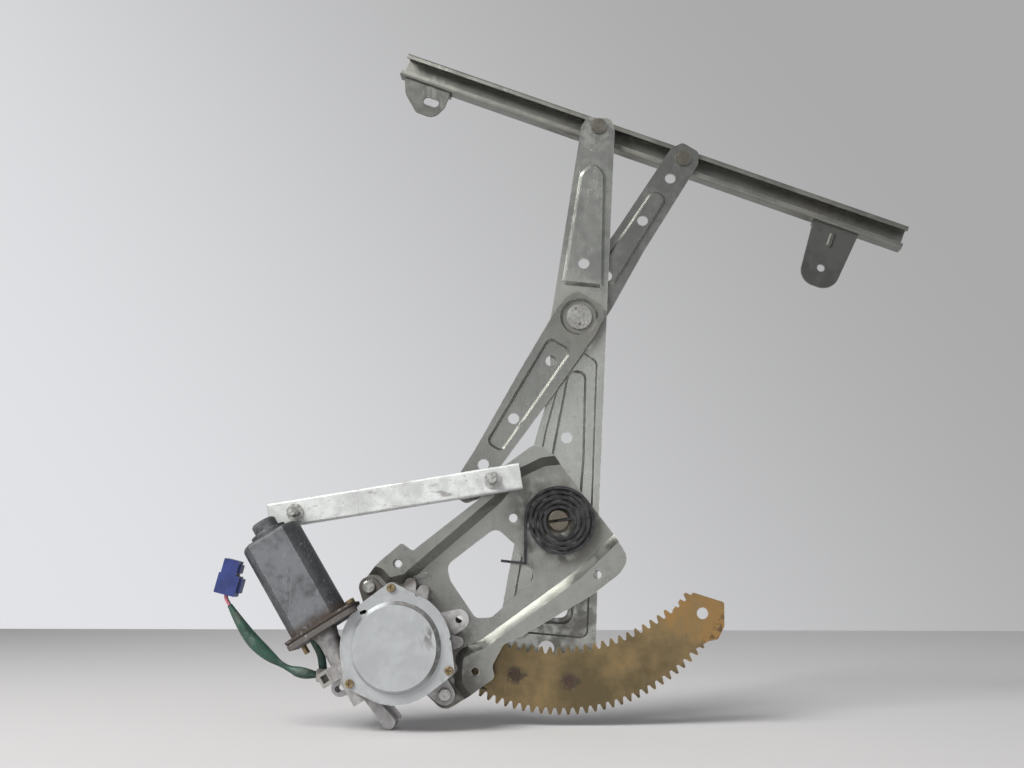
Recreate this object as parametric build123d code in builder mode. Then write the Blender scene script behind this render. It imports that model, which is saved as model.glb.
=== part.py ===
from build123d import *
from math import acos, atan2, cos, degrees, hypot, pi, radians, sin, sqrt, tan
import os

os.makedirs("parts", exist_ok=True)

# Scissor window regulator with its gearmotor. X runs to the right, Z up and +Y away from the
# cabin. The origin is the main pivot's axis in the plane of the base plate's mounting face.
# All sizes are millimetres, all angles degrees above +X seen from the cabin.

# --- linkage ---------------------------------------------------------------------------------
ARM_HALF = 150.0  # main pivot to cross pivot, and cross pivot to lift roller
LINK_HALF = 148.0  # cross pivot to either end of the equaliser
ARM_ANGLE = 83.8
LINK_ANGLE = 57.2
RAIL_DROOP = 0.174  # the lift rail hangs this much off the line through both rollers
CHANNEL_ANGLE = 9.0

# --- sheets and the gaps between them --------------------------------------------------------
PLATE = 2.0
SHEET = 2.2
PANEL_DEPTH = 8.0  # mounting face to the sunk panel
SLIDE_GAP = 0.4  # between sheets that pass each other
SEAT_GAP = 0.15  # washers and rivet heads to the sheet beside them
RUNNING_GAP = 0.05  # radial, pins and shafts in their bores
SECTOR_STANDOFF = 2.1
SECTOR_THICK = 3.0
DRAFT = 40.0
LINK_DEPTH = 2.2  # pressed panels of both links
WASHER = 2.5

# --- gear train ------------------------------------------------------------------------------
MODULE = 2.0
SECTOR_TEETH = 132  # on the full circle
PINION_TEETH = 8
SHIFT = 0.5  # profile shift that keeps the small pinion free of undercut
PRESSURE = 20.0
TOOTH_SLACK = 0.12
GEAR_ANGLE = 217.95  # main pivot to gear shaft
FIRST_TOOTH = -3
LAST_TOOTH = 37
NEST = (-3.0, 41.2)  # the next blank on the strip leaves its own teeth in the inner edge
FIRST_NEST_TOOTH = 14
LAST_NEST_TOOTH = 36
WORM_MODULE = 1.0
WHEEL_TEETH = 62
WORM_PITCH_R = 4.5
WORM_LEAN = -58.5  # motor axis, from the can towards the worm

# --- motor -----------------------------------------------------------------------------------
MOTOR_DEPTH = -22.0  # worm, wheel and armature share this depth
CAN_R = 21.0
CAN_FLAT = 16.5
CAN_WALL = 1.6
CAN_START = -110.0  # along the motor axis from the worm's middle
CAN_END = -39.0
FLANGE_NEAR = 28.0  # motor axis to the flange end beside the housing
FLANGE_FAR = 24.0
FLANGE_DEPTH = 36.0
FLANGE_CORNER_R = 5.5
MOTOR_SCREW_R = 2.0
MOTOR_SCREWS = [(24.7, 0.0, 5.0), (-20.2, -14.2, 9.0)]  # side, towards the cabin, depth
FLANGE_SHEET = 1.6
GASKET = 1.4
HOLDER = 5.0

# --- rails and rollers -----------------------------------------------------------------------
ROLLER_R = 6.5
ROLLER_PLAY = 1.2
PIN_R = 4.0
RAIL_WALL = 1.6
RAIL_DEPTH = 12.0
RAIL_LEFT = 161.5  # lift roller to the rail's left end
RAIL_RIGHT = 243.5
CHANNEL_WALL = 1.4
CHANNEL_DEPTH = 9.4
CHANNEL_LEFT = 141.0
CHANNEL_RIGHT = 38.5
LIP = 2.4


def polar(radius, angle, centre=(0.0, 0.0)):
    """Point at a radius and angle from a centre."""
    return centre[0] + radius * cos(radians(angle)), centre[1] + radius * sin(radians(angle))


def layer(y, at=(0.0, 0.0), angle=0.0):
    """Upright plane at depth y that faces the cabin, with its x axis at an angle above +X."""
    along = (cos(radians(angle)), 0, sin(radians(angle)))
    return Plane(origin=(at[0], y, at[1]), x_dir=along, z_dir=(0, -1, 0))


def across(along, at, angle, y=0.0):
    """Plane square to a direction in the layer planes, at a distance along it from a point.

    Its x axis is the direction's left-hand side and its y axis points to the cabin."""
    x, z = polar(along, angle, at)
    side = (-sin(radians(angle)), 0, cos(radians(angle)))
    return Plane(origin=(x, y, z), x_dir=side, z_dir=(cos(radians(angle)), 0, sin(radians(angle))))


def rounded(corners):
    """Face whose outline has a corner (x, y, radius) at each point."""
    with BuildSketch() as face:
        with BuildLine():
            FilletPolyline(
                *[corner[:2] for corner in corners],
                radius=[corner[2] for corner in corners],
                close=True,
            )
        make_face()
    return face.sketch


def pressed(face, front, sheet, rise, draft=DRAFT, at=(0.0, 0.0), angle=0.0):
    """Skin and hollow of a panel pressed out of a sheet whose cabin side lies at depth front.

    The panel rises towards the cabin, or away from it where rise is negative."""
    lap = sheet * (1 / cos(radians(draft)) - tan(radians(draft)))
    near = layer(front, at, angle)
    far = layer(front + sheet, at, angle)
    skin_plane, skin_lap = (near, 0.0) if rise > 0 else (far, lap)
    hollow_plane, hollow_lap = (far, -lap) if rise > 0 else (near, 0.0)
    solids = []
    for plane, growth in ((skin_plane, skin_lap), (hollow_plane, hollow_lap)):
        with BuildPart() as solid:
            with BuildSketch(plane):
                add(face)
                if growth:
                    offset(amount=growth)
            extrude(amount=rise, taper=draft)
        solids.append(solid.part)
    return solids


def turned(at, steps):
    """Solid of coaxial steps (radius, front depth, back depth) about a point."""
    with BuildPart() as solid:
        for radius, front, back in steps:
            with BuildSketch(layer(back, at)):
                Circle(radius)
            extrude(amount=back - front)
    return solid.part


def flange(margin=0.0):
    """Outline of the motor's flange square to its axis, with both screw holes."""
    with BuildSketch() as face:
        with Locations(((FLANGE_NEAR - FLANGE_FAR) / 2, 0)):
            RectangleRounded(
                FLANGE_NEAR + FLANGE_FAR - 2 * margin, FLANGE_DEPTH - 2 * margin, FLANGE_CORNER_R
            )
        for side, reach, _ in MOTOR_SCREWS:
            with Locations((side, reach)):
                Circle(MOTOR_SCREW_R, mode=Mode.SUBTRACT)
    return face.sketch


def lobe(radius, centre, end, end_radius):
    """Face that runs tangent from a circle about centre to a smaller round end."""
    reach = hypot(end[0] - centre[0], end[1] - centre[1])
    lean = degrees(atan2(end[1] - centre[1], end[0] - centre[0]))
    spread = degrees(acos((radius - end_radius) / reach))
    with BuildSketch() as face:
        with Locations(end):
            Circle(end_radius)
        Polygon(
            centre,
            polar(radius, lean - spread, centre),
            polar(end_radius, lean - spread, end),
            polar(end_radius, lean + spread, end),
            polar(radius, lean + spread, centre),
            align=None,
        )
    return face.sketch


def save(builder, name):
    builder.part.label = name
    export_step(builder.part, f"parts/{name}.step")


# --- depths that follow from the stack of sheets ---------------------------------------------
PANEL_BACK = PANEL_DEPTH + PLATE
SECTOR_FRONT = PANEL_BACK + SECTOR_STANDOFF
ARM_FRONT = SECTOR_FRONT + SECTOR_THICK
ARM_BACK = ARM_FRONT + SHEET
LOWER_FRONT = PANEL_BACK + SLIDE_GAP
LOWER_BACK = LOWER_FRONT + SHEET
UPPER_FRONT = ARM_BACK + WASHER + 2 * SEAT_GAP
UPPER_BACK = UPPER_FRONT + SHEET
RAIL_FRONT = UPPER_BACK + 0.7
RAIL_BACK = RAIL_FRONT + RAIL_DEPTH
CHANNEL_BACK = -0.6  # lips of the loose channel clear the mounting face
CHANNEL_FRONT = CHANNEL_BACK - CHANNEL_DEPTH

# --- points of the linkage -------------------------------------------------------------------
MAIN_PIVOT = (0.0, 0.0)
CROSS_PIVOT = polar(ARM_HALF, ARM_ANGLE)
ARM_END = polar(2 * ARM_HALF, ARM_ANGLE)
UPPER_END = polar(LINK_HALF, LINK_ANGLE, CROSS_PIVOT)
LOWER_END = polar(-LINK_HALF, LINK_ANGLE, CROSS_PIVOT)
RAIL_ANGLE = degrees(atan2(UPPER_END[1] - ARM_END[1], UPPER_END[0] - ARM_END[0])) - RAIL_DROOP

# --- gear geometry ---------------------------------------------------------------------------
SECTOR_PITCH_R = MODULE * SECTOR_TEETH / 2
PINION_PITCH_R = MODULE * PINION_TEETH / 2
TOOTH_ANGLE = 360 / SECTOR_TEETH
SLOPE = tan(radians(PRESSURE))
SECTOR_TIP_R = SECTOR_PITCH_R + MODULE * (1 - SHIFT)
SECTOR_ROOT_R = SECTOR_PITCH_R - MODULE * (1.25 + SHIFT)
SECTOR_HALF_TOOTH = MODULE * (pi / 4 - SHIFT * SLOPE) - TOOTH_SLACK
PINION_TIP_R = PINION_PITCH_R + MODULE * (0.8 + SHIFT)
PINION_ROOT_R = PINION_PITCH_R - MODULE * (1.25 - SHIFT)
PINION_HALF_TOOTH = MODULE * (pi / 4 + SHIFT * SLOPE) - TOOTH_SLACK
GEAR_SHAFT = polar(SECTOR_PITCH_R + PINION_PITCH_R, GEAR_ANGLE)
WHEEL_PITCH_R = WORM_MODULE * WHEEL_TEETH / 2
WORM_SIDE = WORM_LEAN - 90  # gear shaft to worm
WORM_CENTRE = polar(WHEEL_PITCH_R + WORM_PITCH_R, WORM_SIDE, GEAR_SHAFT)
WORM_PITCH = pi * WORM_MODULE


def involute(angle):
    return tan(angle) - angle


def motor(along):
    """Plane square to the motor axis; x points to the gear shaft, y to the cabin."""
    return across(along, WORM_CENTRE, WORM_LEAN, MOTOR_DEPTH)


# =============================================================================================
# Base plate
# =============================================================================================
PLATE_OUTLINE = [
    (-125.5, -28.0, 8),
    (-110.5, -15.5, 2),
    (-102.5, -21.0, 2.5),
    (-55.0, 16.0, 14),
    (-40.5, 37.0, 12),
    (-15.5, 55.0, 9),
    (-2.5, 46.0, 8),
    (15.6, 21.5, 30),
    (38.5, -9.0, 20),
    (49.0, -27.0, 10),
    (42.0, -37.0, 9),
    (22.0, -52.0, 10),
    (-29.0, -81.0, 8),
    (-38.5, -85.0, 5),
    (-46.5, -99.5, 7),
    (-44.5, -107.0, 3),
    (-63.0, -120.5, 10),
    (-80.0, -131.0, 9),
    (-93.0, -119.0, 8),
    (-130.0, -112.0, 16),
    (-142.0, -85.0, 16),
    (-135.5, -60.0, 10),
    (-142.0, -45.0, 9),
]
# foot of the slope between the raised border and the sunk panel; it runs off the plate where
# the panel reaches the edge
PANEL_FOOT = [
    (-160.0, -37.5, 2),
    (-127.5, -37.5, 6),
    (-120.0, -46.0, 8),
    (-106.0, -42.5, 12),
    (-41.0, 13.0, 14),
    (-27.0, 30.5, 8),
    (-10.0, 38.8, 10),
    (12.0, 41.0, 4),
    (40.0, 40.0, 4),
    (54.0, 5.0, 4),
    (13.0, -34.0, 24),
    (-54.0, -82.0, 10),
    (-72.0, -90.0, 9),
    (-73.5, -112.0, 9),
    (-60.0, -130.0, 4),
    (-75.0, -160.0, 4),
    (-160.0, -160.0, 4),
]
WINDOW = [
    (-44.5, -4.5, 7),
    (-79.5, -31.0, 7),
    (-76.5, -42.0, 7),
    (-58.5, -67.5, 5),
    (-47.5, -67.0, 6),
    (-14.5, -38.0, 7),
    (-24.0, -29.0, 4),
    (-31.0, -16.5, 6),
]
BORDER_SLOPE = 6.0  # width of the slope beside its depth
NUT_HOLE_R = 3.4
FIXINGS = [(-113.0, -29.8), (27.2, -37.5), (-58.2, -103.2)]
TOOLING_HOLE = (-32.2, 2.2)
TOOLING_R = 3.0
BUSH_R = 9.0
HUB_R = 13.0
EAR_BOLTS = [(-133.4, -45.9), (-79.2, -118.9)]
TAPPED_EAR = (-69.8, -68.2)
RIVET_R = 2.6
RIB_LENGTH = 11.0
RIB_WIDTH = 2.8
RIB_RISE = 1.0

outline_face = rounded(PLATE_OUTLINE)
foot_face = rounded(PANEL_FOOT)
with BuildSketch() as slope_top:
    add(foot_face)
    offset(amount=BORDER_SLOPE)
panel_skin, panel_hollow = pressed(
    slope_top.sketch, 0.0, PLATE, -PANEL_DEPTH, degrees(atan2(BORDER_SLOPE, PANEL_DEPTH))
)
with BuildPart() as base_plate:
    with BuildSketch(layer(0)):
        add(outline_face)
    extrude(amount=-PLATE)
    add(panel_skin)
    add(panel_hollow, mode=Mode.SUBTRACT)
    with BuildSketch(layer(0)):
        add(outline_face)
    extrude(amount=-PANEL_BACK, mode=Mode.INTERSECT)
    with BuildSketch(layer(PANEL_BACK)):
        add(rounded(WINDOW))
        with Locations(MAIN_PIVOT):
            Circle(BUSH_R)
        with Locations(GEAR_SHAFT):
            Circle(HUB_R)
        with Locations(TOOLING_HOLE):
            Circle(TOOLING_R)
        with Locations(*FIXINGS):
            Circle(NUT_HOLE_R)
        with Locations(*EAR_BOLTS, TAPPED_EAR):
            Circle(RIVET_R)
    extrude(amount=PANEL_BACK, mode=Mode.SUBTRACT)
    with BuildSketch(layer(PANEL_DEPTH)):
        with Locations(Location((-97.4, -38.4), 15), Location((-60.6, -82.0), 65)):
            SlotOverall(RIB_LENGTH, RIB_WIDTH)
    extrude(amount=RIB_RISE)
save(base_plate, "base_plate")

NUT_HEX_R = 5.5
NUT_HEIGHT = 5.0
NUT_BORE_R = 2.6
with BuildPart() as panel_nuts:
    with BuildSketch(layer(PLATE + NUT_HEIGHT)):
        with Locations(*FIXINGS):
            RegularPolygon(NUT_HEX_R, 6)
            Circle(NUT_BORE_R, mode=Mode.SUBTRACT)
    extrude(amount=NUT_HEIGHT)
save(panel_nuts, "panel_nuts")

# =============================================================================================
# Main pivot
# =============================================================================================
SHAFT_R = 7.2
HEAD_FRONT = 0.6
BUSH_FLANGE_R = 13.0
BUSH_FLANGE = 2.0
with BuildPart() as main_pivot_bush:
    with BuildSketch(layer(PANEL_BACK + BUSH_FLANGE)):
        with Locations(MAIN_PIVOT):
            Circle(BUSH_FLANGE_R)
    extrude(amount=BUSH_FLANGE)
    with BuildSketch(layer(ARM_FRONT - SEAT_GAP)):
        Circle(BUSH_R)
    extrude(amount=ARM_FRONT - SEAT_GAP - PANEL_DEPTH)
    with BuildSketch(layer(ARM_BACK)):
        Circle(SHAFT_R + RUNNING_GAP)
    extrude(amount=ARM_BACK, mode=Mode.SUBTRACT)
save(main_pivot_bush, "main_pivot_bush")

OUTER_SINK = 1.6
INNER_SINK = 2.2
FLOOR_FRONT = ARM_FRONT + OUTER_SINK + INNER_SINK
FLOOR_BACK = FLOOR_FRONT + SHEET
TENON_R = 5.0
COLLAR_R = 10.0
PIVOT_RIVET_R = 8.0
PIVOT_RIVET = 1.6
SLOT_ANGLE = 8.0
SLOT_WIDTH = 2.2
SLOT_DEPTH = 6.8
with BuildPart() as main_pivot_shaft:
    with BuildSketch(layer(FLOOR_FRONT)):
        Circle(SHAFT_R)
    extrude(amount=FLOOR_FRONT - HEAD_FRONT)
    with BuildSketch(layer(FLOOR_FRONT)):
        Circle(COLLAR_R)
    extrude(amount=FLOOR_FRONT - ARM_FRONT)
    with BuildSketch(layer(FLOOR_BACK)):
        Circle(TENON_R)
    extrude(amount=SHEET)
    with BuildSketch(layer(FLOOR_BACK + PIVOT_RIVET)):
        Circle(PIVOT_RIVET_R)
    extrude(amount=PIVOT_RIVET, taper=20)
    chamfer(faces().sort_by(Axis.Y)[0].edges(), 0.6)
    with BuildSketch(layer(HEAD_FRONT, angle=SLOT_ANGLE)):
        Rectangle(2 * SHAFT_R, SLOT_WIDTH)
    extrude(amount=-SLOT_DEPTH, mode=Mode.SUBTRACT)
save(main_pivot_shaft, "main_pivot_shaft")

# =============================================================================================
# Balance spring: half-turn arcs of growing radius, so every turn runs into the next
# =============================================================================================
SPRING_CENTRE = (1.4, -0.6)
SPRING_STRIP = 1.9
SPRING_INNER_R = 8.4
SPRING_PITCH = 3.45
SPRING_HALF_TURNS = 9
SPRING_FRONT = 1.5
SPRING_GAP = 0.3
SPRING_LEG = 30.0
SPRING_HOOK = 18.0
SPRING_HOOK_RISE = 1.8
SPRING_TONGUE = 1.5


def spiral(first_radius):
    """Half-turn arcs about the spring's centre, from its right side outwards."""
    for turn in range(SPRING_HALF_TURNS):
        side = 1 if turn % 2 == 0 else -1
        start = side * (first_radius + turn * SPRING_PITCH / 2)
        end = -side * (first_radius + (turn + 1) * SPRING_PITCH / 2)
        top = side * abs(start - end) / 2
        ThreePointArc((start, 0), ((start + end) / 2, top), (end, 0))


SPRING_OUTER_R = SPRING_INNER_R + SPRING_HALF_TURNS * SPRING_PITCH / 2
with BuildPart() as balance_spring:
    with BuildSketch(layer(PANEL_DEPTH - SPRING_GAP, SPRING_CENTRE)):
        with BuildLine():
            spiral(SPRING_INNER_R)
            spiral(SPRING_INNER_R + SPRING_STRIP)
            Line((SPRING_INNER_R, 0), (SPRING_INNER_R + SPRING_STRIP, 0))
            Polyline(
                (-SPRING_OUTER_R, 0),
                (-SPRING_OUTER_R, -SPRING_LEG),
                (-SPRING_OUTER_R - SPRING_HOOK, SPRING_HOOK_RISE - SPRING_LEG),
                (-SPRING_OUTER_R - SPRING_HOOK, SPRING_HOOK_RISE + SPRING_STRIP - SPRING_LEG),
                (-SPRING_OUTER_R - SPRING_STRIP, SPRING_STRIP - SPRING_LEG),
                (-SPRING_OUTER_R - SPRING_STRIP, 0),
            )
        make_face()
    extrude(amount=PANEL_DEPTH - SPRING_GAP - SPRING_FRONT)
    with BuildSketch(layer(PANEL_DEPTH - SPRING_GAP - 1.0, angle=SLOT_ANGLE)):
        with Locations((SPRING_INNER_R / 2 + 0.6, 0)):
            Rectangle(SPRING_INNER_R + 3.4, SPRING_TONGUE)
    extrude(amount=PANEL_DEPTH - SPRING_GAP - 1.0 - SPRING_FRONT)
save(balance_spring, "balance_spring")

# =============================================================================================
# Main arm
# =============================================================================================
ARM_OUTLINE = [
    (-122.0, -28.0, 3),
    (-88.0, -35.0, 12),
    (26.0, -27.1, 60),
    (157.0, -19.9, 60),
    (299.0, -12.5, 4),
    (307.0, -9.0, 5),
    (307.0, 9.0, 5),
    (299.0, 13.0, 4),
    (176.0, 19.2, 60),
    (146.0, 21.0, 40),
    (110.0, 17.3, 30),
    (85.0, 17.6, 30),
    (51.0, 24.0, 20),
    (27.0, 25.5, 30),
    (-42.0, 32.0, 40),
    (-88.0, 35.0, 12),
    (-122.0, 28.0, 3),
]
OUTER_POCKET = [
    (-79.5, -28.8, 6),
    (119.0, -16.6, 6),
    (125.5, -5.0, 6),
    (122.0, 7.5, 5),
    (95.0, 11.5, 20),
    (64.0, 16.5, 20),
    (27.0, 20.0, 20),
    (-80.5, 28.0, 6),
]
INNER_POCKET = [
    (-71.0, -17.0, 8),
    (50.0, -14.0, 20),
    (111.0, -9.4, 6),
    (111.0, 4.5, 6),
    (50.0, 10.0, 20),
    (-58.0, 16.0, 8),
    (-73.0, 11.0, 5),
]
ARM_OPENING = [
    (-66.5, -12.5, 5),
    (-26.0, -11.5, 6),
    (-24.0, 9.5, 6),
    (-54.0, 11.5, 6),
    (-68.5, 7.0, 5),
]
ARM_RIB = [
    (174.0, -16.0, 3),
    (262.0, -9.6, 10),
    (272.0, 0.0, 6),
    (262.0, 10.4, 10),
    (174.0, 15.5, 3),
]
ARM_RIB_RISE = 3.0
ARM_HOLES = [(190.9, 0.5), (61.0, 0.5)]
ARM_HOLE_R = 4.0
LOWER_ARM_HOLE = (-89.0, -0.4)
LOWER_ARM_HOLE_R = 5.5
SECTOR_RIVETS = [(-30.7, -106.6), (6.4, -110.5)]
SECTOR_RIVET_R = 4.0
END_PIN_TENON_R = 3.2
SLEEVE_R = 7.5

outer_skin, outer_hollow = pressed(
    rounded(OUTER_POCKET), ARM_FRONT, SHEET, -OUTER_SINK, angle=ARM_ANGLE
)
inner_skin, inner_hollow = pressed(
    rounded(INNER_POCKET), ARM_FRONT + OUTER_SINK, SHEET, -INNER_SINK, angle=ARM_ANGLE
)
rib_skin, rib_hollow = pressed(
    rounded(ARM_RIB), ARM_FRONT, SHEET, ARM_RIB_RISE, angle=ARM_ANGLE
)
with BuildPart() as main_arm:
    with BuildSketch(layer(ARM_BACK, angle=ARM_ANGLE)):
        add(rounded(ARM_OUTLINE))
    extrude(amount=SHEET)
    add(outer_skin)
    add(inner_skin)
    add(rib_skin)
    add([outer_hollow, inner_hollow, rib_hollow], mode=Mode.SUBTRACT)
    with BuildSketch(layer(FLOOR_BACK, angle=ARM_ANGLE)):
        Circle(TENON_R)
        with Locations(*ARM_HOLES):
            Circle(ARM_HOLE_R)
        with Locations(LOWER_ARM_HOLE):
            Circle(LOWER_ARM_HOLE_R)
        add(rounded(ARM_OPENING))
        with Locations((ARM_HALF, 0)):
            Circle(SLEEVE_R)
        with Locations((2 * ARM_HALF, 0)):
            Circle(END_PIN_TENON_R)
    extrude(amount=FLOOR_BACK, mode=Mode.SUBTRACT)
    with BuildSketch(layer(ARM_BACK)):
        with Locations(*SECTOR_RIVETS):
            Circle(SECTOR_RIVET_R)
    extrude(amount=SHEET, mode=Mode.SUBTRACT)
save(main_arm, "main_arm")

# =============================================================================================
# Toothed sector
# =============================================================================================
SECTOR_END = [
    (70.0, -75.0, 2),
    (88.0, -50.0, 2),
    (94.5, -49.9, 2),
    (115.2, -56.4, 2),
    (114.8, -73.0, 4),
    (110.2, -81.7, 3),
    (103.5, -83.0, 1),
    (92.0, -90.0, 1),
]
SECTOR_HOLE = (100.0, -64.1)
SECTOR_HOLE_R = 4.0
SECTOR_START = FIRST_TOOTH - 0.7
SECTOR_STOP = LAST_TOOTH + 0.6
ROOT_LAP = 0.8
tip_half = SECTOR_HALF_TOOTH - (SECTOR_TIP_R - SECTOR_PITCH_R) * SLOPE
root_half = SECTOR_HALF_TOOTH + (SECTOR_PITCH_R - SECTOR_ROOT_R) * SLOPE


def rack_teeth(centre, first, last):
    """Straight-flanked teeth of the sector between two tooth numbers, about a centre."""
    with BuildSketch() as face:
        for tooth in range(first, last + 1):
            with Locations(Location(centre, GEAR_ANGLE + tooth * TOOTH_ANGLE)):
                Polygon(
                    (SECTOR_ROOT_R - ROOT_LAP, -root_half),
                    (SECTOR_ROOT_R, -root_half),
                    (SECTOR_TIP_R, -tip_half),
                    (SECTOR_TIP_R, tip_half),
                    (SECTOR_ROOT_R, root_half),
                    (SECTOR_ROOT_R - ROOT_LAP, root_half),
                    align=None,
                )
    return face.sketch


with BuildPart() as sector_gear:
    with BuildSketch(layer(ARM_FRONT)):
        Circle(SECTOR_ROOT_R)
        start_angle = GEAR_ANGLE + SECTOR_START * TOOTH_ANGLE
        stop_angle = GEAR_ANGLE + SECTOR_STOP * TOOTH_ANGLE
        Polygon(
            MAIN_PIVOT,
            polar(200, start_angle),
            polar(280, (start_angle + stop_angle) / 2),
            polar(200, stop_angle),
            align=None,
            mode=Mode.INTERSECT,
        )
        add(rack_teeth(MAIN_PIVOT, FIRST_TOOTH, LAST_TOOTH))
        add(rounded(SECTOR_END))
        with Locations(NEST):
            Circle(SECTOR_ROOT_R, mode=Mode.SUBTRACT)
        add(rack_teeth(NEST, FIRST_NEST_TOOTH, LAST_NEST_TOOTH), mode=Mode.SUBTRACT)
        with Locations(*SECTOR_RIVETS):
            Circle(SECTOR_RIVET_R, mode=Mode.SUBTRACT)
        with Locations(SECTOR_HOLE):
            Circle(SECTOR_HOLE_R, mode=Mode.SUBTRACT)
    extrude(amount=SECTOR_THICK)
save(sector_gear, "sector_gear")

RIVET_HEAD_R = 6.2
RIVET_HEAD = 1.4
with BuildPart() as sector_rivets:
    with BuildSketch(layer(ARM_BACK)):
        with Locations(*SECTOR_RIVETS):
            Circle(SECTOR_RIVET_R)
    extrude(amount=ARM_BACK - SECTOR_FRONT)
    with BuildSketch(layer(ARM_BACK + RIVET_HEAD)):
        with Locations(*SECTOR_RIVETS):
            Circle(RIVET_HEAD_R)
    extrude(amount=RIVET_HEAD)
save(sector_rivets, "sector_rivets")

# =============================================================================================
# Equaliser: lower half in front of the main arm, upper half behind it
# =============================================================================================
LOWER_OUTLINE = [
    (-16.0, -11.0, 3),
    (-8.0, -16.0, 6),
    (6.0, -17.2, 20),
    (60.0, -15.0, 60),
    (124.0, -11.0, 30),
    (151.0, -11.0, 5),
    (159.5, -4.5, 5),
    (159.5, 4.5, 5),
    (151.0, 11.0, 5),
    (124.0, 11.0, 30),
    (60.0, 15.0, 60),
    (6.0, 17.2, 20),
    (-8.0, 16.0, 6),
    (-16.0, 11.0, 3),
]
LOWER_POCKET = [(24.0, -11.0, 5), (115.0, -7.5, 5), (115.0, 6.5, 5), (24.0, 9.5, 5)]
BOSS_R = 14.0
UPPER_OUTLINE = [
    (-16.0, -10.0, 6),
    (-8.0, -16.0, 8),
    (20.0, -16.0, 30),
    (70.0, -13.0, 60),
    (150.0, -12.0, 4),
    (158.5, -7.0, 4),
    (158.5, 7.0, 4),
    (150.0, 12.0, 4),
    (70.0, 13.0, 60),
    (20.0, 16.0, 30),
    (-8.0, 16.0, 8),
    (-16.0, 10.0, 6),
]
UPPER_RIB = [(33.0, -8.5, 5), (115.0, -7.0, 6), (115.0, 7.0, 6), (33.0, 8.5, 5)]
LINK_HOLES = [38.6, 89.2, 129.2]
LINK_HOLE_R = 4.0
HUB_TENON_R = 5.0
with BuildSketch() as lower_sinks:
    add(rounded(LOWER_POCKET))
    Circle(BOSS_R)
link_front = [LOWER_FRONT, SHEET, -LINK_DEPTH]
lower_skin, lower_hollow = pressed(
    lower_sinks.sketch, *link_front, at=CROSS_PIVOT, angle=LINK_ANGLE + 180
)
LOWER_FLOOR_BACK = LOWER_BACK + LINK_DEPTH
with BuildPart() as equaliser_lower_arm:
    with BuildSketch(layer(LOWER_BACK, CROSS_PIVOT, LINK_ANGLE + 180)):
        add(rounded(LOWER_OUTLINE))
    extrude(amount=SHEET)
    add(lower_skin)
    add(lower_hollow, mode=Mode.SUBTRACT)
    with BuildSketch(layer(LOWER_FLOOR_BACK, CROSS_PIVOT, LINK_ANGLE + 180)):
        add(rounded(LOWER_OUTLINE))
        Circle(HUB_TENON_R, mode=Mode.SUBTRACT)
        with Locations(*[(along, 0) for along in LINK_HOLES]):
            Circle(LINK_HOLE_R, mode=Mode.SUBTRACT)
        with Locations((LINK_HALF, 0)):
            Circle(END_PIN_TENON_R, mode=Mode.SUBTRACT)
    extrude(amount=LOWER_FLOOR_BACK, mode=Mode.INTERSECT)
save(equaliser_lower_arm, "equaliser_lower_arm")

upper_skin, upper_hollow = pressed(
    rounded(UPPER_RIB), UPPER_FRONT, SHEET, LINK_DEPTH, at=CROSS_PIVOT, angle=LINK_ANGLE
)
with BuildPart() as equaliser_upper_arm:
    with BuildSketch(layer(UPPER_BACK, CROSS_PIVOT, LINK_ANGLE)):
        add(rounded(UPPER_OUTLINE))
    extrude(amount=SHEET)
    add(upper_skin)
    add(upper_hollow, mode=Mode.SUBTRACT)
    with BuildSketch(layer(UPPER_BACK, CROSS_PIVOT, LINK_ANGLE)):
        Circle(HUB_TENON_R)
        with Locations(*[(along, 0) for along in LINK_HOLES]):
            Circle(LINK_HOLE_R)
        with Locations((LINK_HALF, 0)):
            Circle(END_PIN_TENON_R)
    extrude(amount=UPPER_BACK - ARM_BACK, mode=Mode.SUBTRACT)
save(equaliser_upper_arm, "equaliser_upper_arm")

# cross pivot: one stepped rivet clamps both halves to its sleeve, which turns in the main arm
PIVOT_HEAD_R = 9.2
PIVOT_HEAD = 1.3
DIMPLE_R = 1.2
DIMPLES = [(14.1, 155.2), (16.6, 143.4)]
PIVOT_FRONT = LOWER_FLOOR_BACK - SHEET - PIVOT_HEAD
with BuildPart() as cross_pivot:
    with BuildSketch(layer(UPPER_BACK + 0.5, CROSS_PIVOT)):
        Circle(HUB_TENON_R)
    extrude(amount=UPPER_BACK + 0.5 - PIVOT_FRONT)
    with BuildSketch(layer(PIVOT_FRONT + PIVOT_HEAD, CROSS_PIVOT)):
        Circle(PIVOT_HEAD_R)
    extrude(amount=PIVOT_HEAD)
    with BuildSketch(layer(UPPER_FRONT, CROSS_PIVOT)):
        Circle(SLEEVE_R - RUNNING_GAP)
    extrude(amount=UPPER_FRONT - LOWER_FLOOR_BACK)
    with BuildSketch(layer(PIVOT_FRONT)):
        with Locations(*DIMPLES):
            Circle(DIMPLE_R)
    extrude(amount=-PIVOT_HEAD / 2, mode=Mode.SUBTRACT)
save(cross_pivot, "cross_pivot")

WASHER_R = 13.0
with BuildPart() as cross_washer:
    with BuildSketch(layer(UPPER_FRONT - SEAT_GAP, CROSS_PIVOT)):
        Circle(WASHER_R)
        Circle(SLEEVE_R + RUNNING_GAP, mode=Mode.SUBTRACT)
    extrude(amount=WASHER)
save(cross_washer, "cross_washer")

# =============================================================================================
# Rails
# =============================================================================================
TRACK_HALF = ROLLER_R + ROLLER_PLAY
ROLLER_SIDE_GAP = 0.6


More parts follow.
